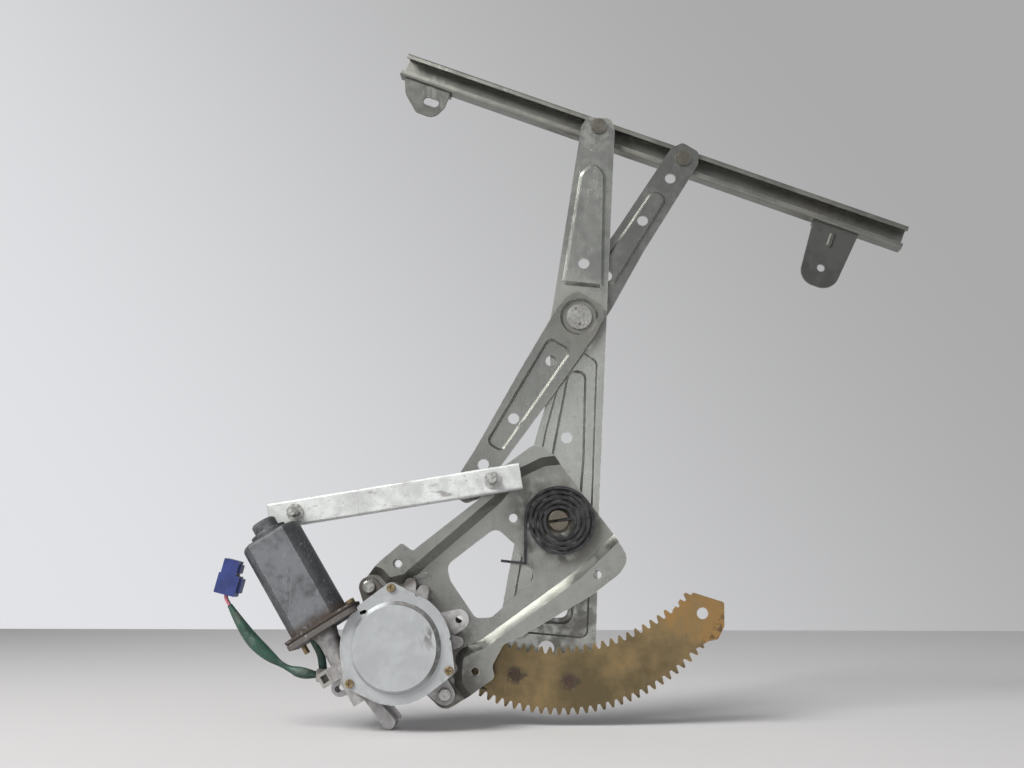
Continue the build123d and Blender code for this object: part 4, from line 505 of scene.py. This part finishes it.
def guide_rail_coat(colour):
    """Pale coat on the guide rail: rust specks, brown cut edges, smears and a stain at a stud."""
    made = Finish("Guide_rail_coat")
    mottle = made.cloud(6.0 * MM, 6.0)
    broad = made.cloud(34.0 * MM, 3.0, shift=2.0)
    tone = made.step(broad * 0.5 + mottle * 0.5, 0.38, 0.62)
    base = made.mix(tint(colour, 0.82), tint(colour, 1.06), tone)
    lines = made.scratches(-0.16, 1.0).most(made.scratches(-0.3, 6.0))
    base = made.mix(base, tint(colour, 0.62), lines * 0.6)
    smears = made.step(made.cloud(11.0 * MM, 4.0, (0.5, 1.0, 1.6), -0.157, 3.0), 0.58, 0.66)
    base = made.mix(base, RAIL_SMEAR, smears * 0.55)
    specks = made.specks(0.9 * MM, 0.10, 1.0).most(made.specks(0.45 * MM, 0.14, 5.0))
    edge = made.edges(1.1 * MM) * made.step(made.cloud(3.5 * MM, 5.0, shift=6.0), 0.34, 0.48)
    stain = made.near(RIGHT_STUD, 3.6 * MM, 7.4 * MM) * made.step(mottle, 0.40, 0.58)
    corners = made.hollows(4.0 * MM) * made.step(mottle, 0.45, 0.6) * 0.6
    rust = specks.most(edge).most(stain).most(corners).least(1.0)
    base = made.mix(base, RAIL_RUST, rust * 0.85)
    rough = 0.40 + tone * 0.12 + rust * 0.35
    relief = mottle * 0.25 + made.cloud(0.8 * MM) * 0.2 + rust * 0.4 - lines * 0.3
    return made.shade(base, rough, 0.25 - rust * 0.2, relief, 0.14 * MM)


def turned_steel(name, colour, centre):
    """Turned steel: fine rings about the pin, a smear of brown oil, bright rims."""
    made = Finish(name)
    away = made.round_axis(centre)
    rings = (away * (2.0 * math.pi / (0.45 * MM))).sine() * 0.5 + 0.5
    mottle = made.cloud(2.0 * MM, 5.0)
    tone = made.step(mottle * 0.7 + rings * 0.3, 0.30, 0.72)
    base = made.mix(tint(colour, 0.68), tint(colour, 1.12), tone)
    smear = made.step(made.cloud(3.0 * MM, 4.0, shift=5.0), 0.55, 0.64) * 0.7
    grime_and_shade = made.hollows(2.5 * MM).most(smear)
    base = made.mix(base, BROWN_OIL, grime_and_shade * 0.8)
    worn = made.edges(0.4 * MM) * (1.0 - grime_and_shade)
    base = made.mix(base, tint(colour, 1.5), worn * 0.7)
    rough = 0.28 + mottle * 0.16 + grime_and_shade * 0.3
    relief = rings * 0.5 + mottle * 0.4
    return made.shade(base, rough, 0.95 - grime_and_shade * 0.7, relief, 0.05 * MM)


def plain_metal(name, colour, size, gloss, metallic):
    """A small metal piece inside the drive: mottled, dull in the corners."""
    made = Finish(name)
    mottle = made.cloud(size, 5.0)
    base = made.mix(tint(colour, 0.66), tint(colour, 1.15), made.step(mottle, 0.36, 0.62))
    grime_and_shade = made.hollows(2.0 * MM) * made.step(made.cloud(1.6 * size, 3.0, shift=2.0), 0.36, 0.60)
    base = made.mix(base, tint(colour, 0.22), grime_and_shade * 0.8)
    worn = made.edges(0.3 * MM) * (1.0 - grime_and_shade)
    base = made.mix(base, tint(colour, 1.5), worn * 0.6)
    relief = mottle * 0.5 + made.cloud(0.3 * size) * 0.3
    return made.shade(base, gloss + grime_and_shade * 0.3, metallic, relief, 0.06 * MM)


def striped_metal(name, colour, direction, pitch, metallic):
    """Stacked plates, segments or wound wire: fine grooves across a direction."""
    made = Finish(name)
    wave = (made.along(direction) * (2.0 * math.pi / pitch)).sine() * 0.5 + 0.5
    mottle = made.cloud(2.5 * MM, 5.0)
    groove = made.step(wave, 0.30, 0.02)
    base = made.mix(tint(colour, 0.8), tint(colour, 1.2), made.step(mottle, 0.36, 0.62))
    base = made.mix(base, tint(colour, 0.2), groove * 0.8)
    return made.shade(base, 0.36 + groove * 0.3, metallic, wave + mottle * 0.2, 0.12 * MM)


def moulded_plastic(name, colour, gloss, dirt, size=3.0 * MM):
    """Moulded plastic: faint flow, satin grain, grime in the corners, pale scuffs on the edges."""
    made = Finish(name)
    flow = made.cloud(4.0 * size, 4.0)
    grain = made.cloud(0.35 * MM, 2.0)
    base = made.mix(tint(colour, 0.82), tint(colour, 1.16), made.step(flow, 0.36, 0.64))
    grime_and_shade = made.hollows(size) * made.step(made.cloud(size, 4.0, shift=3.0), 0.36, 0.58)
    base = made.mix(base, PLASTIC_GRIME, grime_and_shade * dirt)
    scuffs = made.edges(0.35 * MM) * made.step(made.cloud(0.8 * size, 4.0, shift=6.0), 0.44, 0.56)
    scuffs = scuffs.most(made.scratches(0.8, 2.0) * 0.6) * (1.0 - grime_and_shade)
    pale = tint([0.55 * part + 0.30 for part in tuple(colour)[:3]])
    base = made.mix(base, pale, scuffs * 0.5)
    rough = gloss + grain * 0.10 + grime_and_shade * 0.25 + scuffs * 0.12
    return made.shade(base, rough, 0.0, grain * 0.5 + flow * 0.2 - scuffs * 0.3, 0.05 * MM)


def lead_sleeve_vinyl(colour):
    """Soft vinyl sleeve: creased along its length, dusty, with pale rub marks."""
    made = Finish("Lead_sleeve_vinyl")
    creases = made.cloud(5.0 * MM, 4.0, (0.6, 1.0, 0.6), 0.55)
    fine = made.cloud(1.1 * MM, 4.0, shift=2.0)
    tone = made.step(creases * 0.6 + fine * 0.4, 0.36, 0.64)
    base = made.mix(tint(colour, 0.62), tint(colour, 1.5), tone)
    dust_and_sheen = made.step(made.cloud(7.0 * MM, 5.0, shift=5.0), 0.48, 0.62)
    dust_and_sheen = dust_and_sheen * made.facing((-0.3, -0.5, 0.8))
    base = made.mix(base, SLEEVE_DUST, dust_and_sheen * 0.35)
    rough = 0.38 + fine * 0.2 + dust_and_sheen * 0.2
    return made.shade(base, rough, 0.0, creases * 0.8 + fine * 0.4, 0.35 * MM)


def wire_insulation(colour):
    """The two wires at the plug: one in the property's colour and one paler."""
    made = Finish("Wire_insulation")
    fine = made.cloud(1.0 * MM, 4.0)
    pale = made.step(made.along(ACROSS), -15.1 * MM, -14.9 * MM)
    base = made.mix(tint(colour), PALE_WIRE, pale)
    base = made.mix(base, WIRE_DIRT, made.step(fine, 0.52, 0.66) * 0.5)
    return made.shade(base, 0.36 + fine * 0.2, 0.0, fine, 0.05 * MM)


# ---------------------------------------------------------------- surfaces


def skin(name, rows, body, material):
    """A closed mesh from a grid of points: rows of one ring each, joined round and along, with a
    point at the middle of the first and the last ring. Faces are turned outwards by the sign of
    the volume that they hold."""
    count, around = rows.shape[:2]
    points = np.concatenate([rows.reshape(-1, 3), rows[:1].mean(1), rows[-1:].mean(1)])
    along, turn = np.meshgrid(np.arange(count - 1), np.arange(around), indexing="ij")
    next_turn = (turn + 1) % around
    corners = [along * around + turn, along * around + next_turn,
               (along + 1) * around + next_turn, (along + 1) * around + turn]
    quads = np.stack([c.ravel() for c in corners], axis=1)
    ring = np.arange(around)
    onward = (ring + 1) % around
    first = np.stack([onward, ring, np.full(around, count * around)], axis=1)
    base = (count - 1) * around
    last = np.stack([base + ring, base + onward, np.full(around, count * around + 1)], axis=1)
    flat = np.concatenate([quads[:, [0, 1, 2]], quads[:, [0, 2, 3]], first, last])
    a, b, c = (points[flat[:, i]] for i in range(3))
    if np.einsum("ij,ij->i", a, np.cross(b, c)).sum() < 0.0:
        quads, first, last = quads[:, ::-1], first[:, ::-1], last[:, ::-1]
    mesh = bpy.data.meshes.new(name)
    mesh.from_pydata(points.tolist(), [], quads.tolist() + first.tolist() + last.tolist())
    mesh.shade_smooth()
    mesh.materials.append(material)
    made = bpy.data.objects.new(name, mesh)
    bpy.context.scene.collection.objects.link(made)
    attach(made, body)
    return made


def thread_rows(centre, start, end, root, crest, pitch, around=40):
    """Rings up a stud that runs along Y. The radius at a height and an angle is the root plus the
    depth times a triangle wave of height over pitch less the angle's share of a turn, faded out at
    both ends."""
    count = max(int(abs(end - start) / pitch * 10), 12)
    height = np.linspace(0.0, abs(end - start), count)[:, None]
    angle = np.linspace(0.0, 2.0 * np.pi, around, endpoint=False)[None, :]
    wave = 1.0 - np.abs(2.0 * ((height / pitch - angle / (2.0 * np.pi)) % 1.0) - 1.0)
    fade = np.clip(np.minimum(height, height[-1] - height) / pitch, 0.0, 1.0)
    radius = root + (crest - root) * np.clip(1.4 * wave - 0.2, 0.0, 1.0) * fade
    x = centre[0] + radius * np.cos(angle)
    y = start + math.copysign(1.0, end - start) * height + 0.0 * angle
    z = centre[2] + radius * np.sin(angle)
    return np.stack([x, y, z], axis=-1)


def bead_rows(middle, radius, start, end, y, half_width, half_height, seed, count=150, around=14):
    """A lumpy bead along an arc about the Y axis. Each ring is an ellipse across the arc, whose
    size is a sum of seeded sines of the place along the arc, tapered to both ends."""
    rng = np.random.default_rng(seed)
    share = np.linspace(0.0, 1.0, count)[:, None]
    turn = np.linspace(0.0, 2.0 * np.pi, around, endpoint=False)[None, :]
    waves = rng.uniform(4.0, 38.0, 9)[:, None, None]
    phases = rng.uniform(0.0, 6.28, 9)[:, None, None]
    lumps = 0.75 + 0.16 * np.sin(waves * share + phases + 0.8 * np.cos(turn + phases)).sum(0)
    size = np.clip(lumps, 0.25, 1.3) * np.sin(np.pi * share) ** 0.4
    angle = np.radians(start + (end - start) * share)
    sway = 0.5 * half_width * np.sin(11.0 * share + phases[0])
    away = radius + half_width * size * np.cos(turn) + sway
    x = middle[0] + away * np.cos(angle)
    z = middle[2] + away * np.sin(angle)
    return np.stack([x, y + half_height * size * np.sin(turn), z], axis=-1)


# ---------------------------------------------------------------- properties


def colour_property(name, description, default):
    """A colour that the sidebar shows."""
    return bpy.props.FloatVectorProperty(
        name=name, description=description, default=default,
        min=0.0, max=1.0, size=3, subtype="COLOR",
    )


class RegulatorColours(bpy.types.PropertyGroup):
    """Colours of the regulator's finishes."""

    sheet: colour_property("Sheet zinc", "Pressed plate and arms", (0.47, 0.48, 0.45))
    lift_rail: colour_property("Lift rail", "Rolled lift rail", (0.29, 0.295, 0.27))
    fixings: colour_property("Fixings", "Bright zinc on nuts, bolts and studs", (0.56, 0.56, 0.54))
    sector: colour_property("Sector", "Yellow passivate on the sector", (0.262, 0.196, 0.102))
    screws: colour_property("Screws", "Yellow zinc on the screws", (0.38, 0.29, 0.17))
    spring: colour_property("Spring", "Oiled balance spring", (0.032, 0.032, 0.036))
    casting: colour_property("Casting", "Die-cast gear housing", (0.56, 0.55, 0.555))
    cover: colour_property("Cover", "Sheet cover over the gears", (0.505, 0.525, 0.535))
    can: colour_property("Motor can", "Paint on the motor can", (0.038, 0.040, 0.043))
    guide_rail: colour_property("Guide rail", "Pale coat on the guide rail", (0.68, 0.70, 0.695))
    steel: colour_property("Steel", "Turned pins and shafts", (0.23, 0.22, 0.19))
    sleeve: colour_property("Lead sleeve", "Vinyl sleeve of the motor lead", (0.028, 0.075, 0.055))
    wires: colour_property("Wires", "Insulation of the wires at the plug", (0.60, 0.20, 0.24))
    plug: colour_property("Plug", "Moulded plug", (0.030, 0.046, 0.180))
    nylon: colour_property("Nylon", "Natural nylon wheel, washer and clip", (0.66, 0.62, 0.52))
    rollers: colour_property("Rollers", "Black rollers in the rails", (0.025, 0.025, 0.026))


class RegulatorFittings(bpy.types.PropertyGroup):
    """Sizes of the regulator's small fittings."""

    lead_diameter: bpy.props.FloatProperty(
        name="Lead diameter", description="Outside of the motor lead's sleeve",
        default=6.8 * MM, min=4.0 * MM, max=9.0 * MM, unit="LENGTH", precision=4,
    )
    thread_pitch: bpy.props.FloatProperty(
        name="Thread pitch", description="Pitch of the guide rail's studs",
        default=1.0 * MM, min=0.7 * MM, max=1.5 * MM, unit="LENGTH", precision=5,
    )
    grease: bpy.props.FloatProperty(
        name="Grease", description="Half width of the grease bead on the sector's teeth",
        default=1.5 * MM, min=0.5 * MM, max=3.0 * MM, unit="LENGTH", precision=5,
    )


class RegulatorStage(bpy.types.PropertyGroup):
    """Light and background of the stage."""

    key_power: bpy.props.FloatProperty(
        name="Key light", description="Power of the large lamp at the upper left",
        default=21.0, min=0.0, max=500.0, unit="POWER",
    )
    fill_power: bpy.props.FloatProperty(
        name="Fill light", description="Power of the soft lamp at the right",
        default=0.7, min=0.0, max=500.0, unit="POWER",
    )
    low_power: bpy.props.FloatProperty(
        name="Low light", description="Power of the broad low lamp that the metal mirrors",
        default=0.5, min=0.0, max=100.0, unit="POWER",
    )
    air: bpy.props.FloatProperty(
        name="Air", description="Strength of the even light from all round",
        default=0.29, min=0.0, max=1.5,
    )
    floor: colour_property("Floor", "Pale floor", (0.63, 0.625, 0.63))
    # The wall's two colours are the ends of a painted falloff of the key lamp's light across the
    # backdrop.
    wall_left: colour_property("Wall, lit side", "Backdrop near the key", (0.76, 0.765, 0.79))
    wall_right: colour_property("Wall, far side", "Backdrop away from the key", (0.40, 0.40, 0.40))


# ---------------------------------------------------------------- operators


class REGULATOR_OT_lead(bpy.types.Operator):
    """Lay the motor lead along its route, with its stub, wires, clip and plug"""

    bl_idname = "regulator.lead"
    bl_label = "Motor lead"

    def execute(self, context):
        colours, fittings = context.scene.regulator_colours, context.scene.regulator_fittings
        sleeve = lead_sleeve_vinyl(colours.sleeve)
        dress(sleeve, "lead_stub")
        dress(wire_insulation(colours.wires), "lead_wires")
        dress(moulded_plastic("Plug_plastic", colours.plug, 0.34, 0.8), "plug")
        dress(moulded_plastic("Clip_nylon", (0.30, 0.29, 0.27), 0.46, 0.9), "cable_clip")
        line = bpy.data.curves.new("lead_sleeve", "CURVE")
        line.dimensions = "3D"
        line.bevel_depth = fittings.lead_diameter / 2.0
        line.bevel_resolution = 8
        line.resolution_u = 24
        line.use_fill_caps = True
        spline = line.splines.new("NURBS")
        spline.points.add(len(LEAD_ROUTE) - 1)
        spline.points.foreach_set("co", np.array([(*point, 1.0) for point in LEAD_ROUTE]).ravel())
        spline.points.foreach_set("radius", LEAD_GIRTH)
        spline.order_u = 3
        spline.use_endpoint_u = True
        line.materials.append(sleeve)
        lead = bpy.data.objects.new("lead_sleeve", line)
        context.scene.collection.objects.link(lead)
        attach(lead, "base")
        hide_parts("motor_lead")
        return {"FINISHED"}


class REGULATOR_OT_pressings(bpy.types.Operator):
    """Finish the pressed plate, the arms and the lift rail"""

    bl_idname = "regulator.pressings"
    bl_label = "Pressings"

    def execute(self, context):
        colours = context.scene.regulator_colours
        # Painted shade: dark patches on the plate around the gear housing, around the balance
        # spring at the main pivot, and below right of the housing, where the housing's shadow
        # falls; the patch about the gear also stands for oil near it.
        plate_shade_and_oil = [
            (GEAR_SHAFT, 40.0 * MM, 85.0 * MM, 0.9),
            (MAIN_PIVOT, 22.0 * MM, 48.0 * MM, 0.8),
            ((-0.075, 0.008, -0.115), 10.0 * MM, 40.0 * MM, 0.9),
        ]
        plate = sheet_zinc("Zinc_plate", tint(colours.sheet, 0.80), 0.95, 0.26, plate_shade_and_oil, 0.4)
        dress(plate, "base_plate")
        arm_stains = [
            (CROSS_PIVOT, 12.0 * MM, 34.0 * MM, 0.7),
            (LIFT_PIN, 8.0 * MM, 26.0 * MM, 0.8),
            ((0.004, 0.016, -0.075), 10.0 * MM, 50.0 * MM, 0.9),
        ]
        dress(sheet_zinc("Zinc_arm", colours.sheet, 0.85, 0.22, arm_stains, 0.1), "main_arm")
        link_stains = [
            (CROSS_PIVOT, 14.0 * MM, 40.0 * MM, 0.7),
            (GUIDE_PIN, 10.0 * MM, 40.0 * MM, 0.7),
        ]
        link = sheet_zinc("Zinc_link", tint(colours.sheet, 0.68), 0.9, 0.24, link_stains, -0.6)
        dress(link, "equaliser_lower_arm", "equaliser_upper_arm")
        rail_stains = [
            ((-0.152, 0.029, 0.370), 8.0 * MM, 60.0 * MM, 1.0),
            (LIFT_PIN, 10.0 * MM, 60.0 * MM, 0.8),
            ((0.210, 0.029, 0.230), 10.0 * MM, 50.0 * MM, 0.7),
        ]
        rail = sheet_zinc("Zinc_lift_rail", colours.lift_rail, 1.0, 0.36, rail_stains, 0.37)
        dress(rail, "lift_rail")
        bracket = sheet_zinc("Zinc_bracket", tint(colours.sheet, 0.36), 0.9, 0.32, (), 0.9)
        dress(bracket, "left_glass_bracket", "right_glass_bracket")
        return {"FINISHED"}


class REGULATOR_OT_guide_rail(bpy.types.Operator):
    """Finish the guide rail and cut the threads of its studs"""

    bl_idname = "regulator.guide_rail"
    bl_label = "Guide rail"

    def execute(self, context):
        colours, fittings = context.scene.regulator_colours, context.scene.regulator_fittings
        dress(guide_rail_coat(colours.guide_rail), "fixed_rail")
        stud = bright_zinc("Stud_zinc", colours.fixings, 0.32)
        dress(stud, "fixed_rail_studs")
        for name, along in STUDS_ALONG.items():
            centre = [at + along * part for at, part in zip(GUIDE_PIN, GUIDE_RAIL_LINE)]
            rows = thread_rows(centre, THREAD_START, THREAD_END, THREAD_ROOT, THREAD_CREST,
                               fittings.thread_pitch)
            skin(name, rows, "fixed_rail", stud)
        return {"FINISHED"}


class REGULATOR_OT_drive(bpy.types.Operator):
    """Finish the gear housing, its cover, the motor can and what is inside them"""

    bl_idname = "regulator.drive"
    bl_label = "Gearmotor"

    def execute(self, context):
        colours = context.scene.regulator_colours
        dress(cast_alloy(colours.casting), "gear_housing")
        dress(cover_sheet(colours.cover), "housing_cover")
        dress(can_paint(colours.can), "motor_can")
        dress(bright_zinc("Screw_zinc", colours.screws, 0.30), "cover_screws", "motor_screws")
        dress(bright_zinc("Bolt_zinc", colours.fixings, 0.28), "housing_bolts")
        dress(moulded_plastic("Gasket_rubber", (0.060, 0.048, 0.038), 0.70, 0.9), "gasket")
        dress(moulded_plastic("Damper_rubber", (0.028, 0.028, 0.028), 0.62, 0.6), "damper")
        dress(moulded_plastic("Wheel_nylon", colours.nylon, 0.38, 0.9), "worm_wheel")
        dress(turned_steel("Pinion_steel", colours.steel, GEAR_SHAFT), "drive_pinion")
        dress(plain_metal("Worm_steel", colours.steel, 1.5 * MM, 0.26, 0.95), "worm")
        bronze = plain_metal("Bush_bronze", (0.50, 0.31, 0.15), 1.2 * MM, 0.42, 0.85)
        dress(bronze, "can_bushing", "worm_bushings")
        ferrite = plain_metal("Magnet_ferrite", (0.075, 0.075, 0.080), 1.8 * MM, 0.58, 0.2)
        dress(ferrite, "magnets")
        plates = striped_metal("Armature_plates", (0.24, 0.24, 0.25), MOTOR_AXIS, 0.6 * MM, 0.85)
        dress(plates, "armature")
        wound = striped_metal("Wound_wire", (0.50, 0.19, 0.08), MOTOR_AXIS, 0.5 * MM, 0.9)
        dress(wound, "windings")
        copper = striped_metal("Commutator_copper", (0.60, 0.28, 0.14), ACROSS, 1.6 * MM, 0.9)
        dress(copper, "commutator")
        dress(plain_metal("Brush_carbon", (0.030, 0.030, 0.032), 1.0 * MM, 0.5, 0.2), "brushes")
        dress(moulded_plastic("Holder_phenolic", (0.110, 0.066, 0.036), 0.45, 0.6), "brush_holder")
        return {"FINISHED"}


class REGULATOR_OT_pivots(bpy.types.Operator):
    """Finish the pins, rivets, rollers and the balance spring"""

    bl_idname = "regulator.pivots"
    bl_label = "Pivots and spring"

    def execute(self, context):
        colours = context.scene.regulator_colours
        dress(oiled_spring(colours.spring), "balance_spring")
        pivot = turned_steel("Main_pivot_steel", tint(colours.steel, 0.95, 0.06), MAIN_PIVOT)
        dress(pivot, "main_pivot_shaft", "main_pivot_bush")
        dress(turned_steel("Lift_pin_steel", colours.steel, LIFT_PIN), "lift_pin")
        cross = turned_steel("Cross_pivot_steel", tint(colours.fixings, 0.9), CROSS_PIVOT)
        dress(cross, "cross_pivot")
        dress(turned_steel("Equaliser_pin_steel", colours.steel, EQUALISER_PIN), "equaliser_pin")
        guide = turned_steel("Guide_pin_steel", tint(colours.steel, 0.8, 0.10), GUIDE_PIN)
        dress(guide, "guide_pin")
        dress(bright_zinc("Nut_zinc", colours.fixings, 0.30), "panel_nuts")
        rusty = plain_metal("Rivet_rust", (0.075, 0.046, 0.031), 1.6 * MM, 0.46, 0.25)
        dress(rusty, "sector_rivets")
        dress(moulded_plastic("Washer_nylon", colours.nylon, 0.40, 0.9), "cross_washer")
        roller = moulded_plastic("Roller_plastic", colours.rollers, 0.40, 0.7)
        dress(roller, "lift_roller", "equaliser_roller", "guide_roller")
        return {"FINISHED"}


class REGULATOR_OT_sector(bpy.types.Operator):
    """Finish the toothed sector and lay the grease on its teeth"""

    bl_idname = "regulator.sector"
    bl_label = "Toothed sector"

    def execute(self, context):
        colours, fittings = context.scene.regulator_colours, context.scene.regulator_fittings
        dress(chromate_sector(colours.sector), "sector_gear")
        grease = moulded_plastic("Old_grease", (0.030, 0.024, 0.018), 0.24, 0.3, 1.5 * MM)
        rows = bead_rows(MAIN_PIVOT, GREASE_RADIUS, *GREASE_ARC, GREASE_DEPTH,
                         fittings.grease, 0.55 * fittings.grease, GREASE_SEED)
        skin("sector_grease", rows, "main_arm", grease)
        return {"FINISHED"}


def flat_sheet(name, corners, material):
    """A flat four-cornered stage sheet."""
    mesh = bpy.data.meshes.new(name)
    mesh.from_pydata(corners, [], [(0, 1, 2, 3)])
    mesh.materials.append(material)
    sheet = bpy.data.objects.new(name, mesh)
    bpy.context.scene.collection.objects.link(sheet)


def lamp(name, place, aim, size, power, colour):
    """A square area lamp behind a soft grid, at a place, turned towards its aim."""
    data = bpy.data.lights.new(name, "AREA")
    data.shape = "SQUARE"
    data.size = size
    data.energy = power
    data.spread = LAMP_SPREAD
    data.color = colour
    made = bpy.data.objects.new(name, data)
    made.location = place
    made.rotation_euler = (Vector(aim) - Vector(place)).to_track_quat("-Z", "Y").to_euler()
    bpy.context.scene.collection.objects.link(made)


class REGULATOR_OT_stage(bpy.types.Operator):
    """Set the camera, the pale floor and wall, and the soft light"""

    bl_idname = "regulator.stage"
    bl_label = "Stage"

    def execute(self, context):
        scene, stage = context.scene, context.scene.regulator_stage
        lens = bpy.data.cameras.new("stage_camera")
        lens.sensor_width = SENSOR_WIDTH
        lens.lens = FOCAL_LENGTH
        camera = bpy.data.objects.new("stage_camera", lens)
        camera.location = CAMERA_PLACE
        camera.rotation_euler = Vector(CAMERA_LINE).to_track_quat("-Z", "Y").to_euler()
        scene.collection.objects.link(camera)
        scene.camera = camera

        ground = Finish("Stage_floor")
        bottom = CAD_BOX[0].z - 0.4 * MM
        left, right, front, back = -STAGE_REACH, STAGE_REACH, -STAGE_REACH, WALL_PLACE
        matt = ground.shade(tint(stage.floor), 1.0, Specular_IOR_Level=0.0)
        corners = [(left, front, bottom), (right, front, bottom),
                   (right, back, bottom), (left, back, bottom)]
        flat_sheet("stage_floor", corners, matt)

        wall = Finish("Stage_wall")
        # Painted light: camera, glossy and transmission rays see the wall glow, with a painted
        # falloff from the lit colour near the key lamp to the darker far colour; all other rays
        # see plain diffuse paint.
        key_falloff_share = wall.step(wall.along((0.80, 0.0, 0.60)), -0.9, 1.1)
        painted_falloff = wall.mix(tint(stage.wall_left), tint(stage.wall_right), key_falloff_share)
        painted_glow = wall.node("ShaderNodeEmission", {}, {"Color": painted_falloff, "Strength": 1.0})
        paint = wall.node("ShaderNodeBsdfDiffuse", {}, {"Color": tint(stage.wall_left)})
        ray = wall.node("ShaderNodeLightPath", output="Is Camera Ray")
        gloss = wall.node("ShaderNodeLightPath", output="Is Glossy Ray")
        through = wall.node("ShaderNodeLightPath", output="Is Transmission Ray")
        lit = {0: ray.most(gloss).most(through), 1: paint, 2: painted_glow}
        shown = wall.node("ShaderNodeMixShader", {}, lit)
        wall.node("ShaderNodeOutputMaterial", {}, {"Surface": shown})
        corners = [(left, back, bottom), (right, back, bottom),
                   (right, back, WALL_TOP), (left, back, WALL_TOP)]
        flat_sheet("stage_wall", corners, wall.material)

        lamp("key_lamp", (-1.30, -1.25, 1.45), LAMP_AIM, 1.1, stage.key_power, (1.0, 0.985, 0.96))
        lamp("fill_lamp", (1.6, -1.1, 0.6), LAMP_AIM, 1.6, stage.fill_power, (0.95, 0.97, 1.0))
        lamp("low_lamp", (0.10, -2.40, 0.22), LOW_AIM, 0.9, stage.low_power, (1.0, 1.0, 1.0))

        world = bpy.data.worlds.new("Stage_air")
        world.use_nodes = True
        air = world.node_tree.nodes["Background"]
        air.inputs["Color"].default_value = (0.97, 0.98, 1.0, 1.0)
        air.inputs["Strength"].default_value = stage.air
        scene.world = world
        scene.view_settings.view_transform = "Standard"
        return {"FINISHED"}


class REGULATOR_PT_sidebar(bpy.types.Panel):
    """The regulator's pieces, stage and properties"""

    bl_idname = "REGULATOR_PT_sidebar"
    bl_label = "Window regulator"
    bl_space_type = "VIEW_3D"
    bl_region_type = "UI"
    bl_category = "Regulator"

    def draw(self, context):
        layout = self.layout
        for name in STEPS:
            layout.operator(f"regulator.{name}")
        for group_name in ("fittings", "colours", "stage"):
            group = getattr(context.scene, f"regulator_{group_name}")
            box = layout.box()
            for name in group.bl_rna.properties.keys():
                if name not in {"rna_type", "name"}:
                    box.prop(group, name)


STEPS = ("stage", "lead", "pressings", "guide_rail", "drive", "pivots", "sector")

CLASSES = (
    RegulatorColours,
    RegulatorFittings,
    RegulatorStage,
    REGULATOR_OT_stage,
    REGULATOR_OT_lead,
    REGULATOR_OT_pressings,
    REGULATOR_OT_guide_rail,
    REGULATOR_OT_drive,
    REGULATOR_OT_pivots,
    REGULATOR_OT_sector,
    REGULATOR_PT_sidebar,
)


def register():
    """Make the regulator's properties, operators and panel known to Blender."""
    for made in CLASSES:
        bpy.utils.register_class(made)
    bpy.types.Scene.regulator_colours = bpy.props.PointerProperty(type=RegulatorColours)
    bpy.types.Scene.regulator_fittings = bpy.props.PointerProperty(type=RegulatorFittings)
    bpy.types.Scene.regulator_stage = bpy.props.PointerProperty(type=RegulatorStage)


def unregister():
    """Take them away again."""
    del bpy.types.Scene.regulator_stage
    del bpy.types.Scene.regulator_fittings
    del bpy.types.Scene.regulator_colours
    for made in reversed(CLASSES):
        bpy.utils.unregister_class(made)


def main():
    """Run every step."""
    register()
    for name in STEPS:
        getattr(bpy.ops.regulator, name)()
    bpy.context.view_layer.update()


if __name__ == "__main__":
    main()
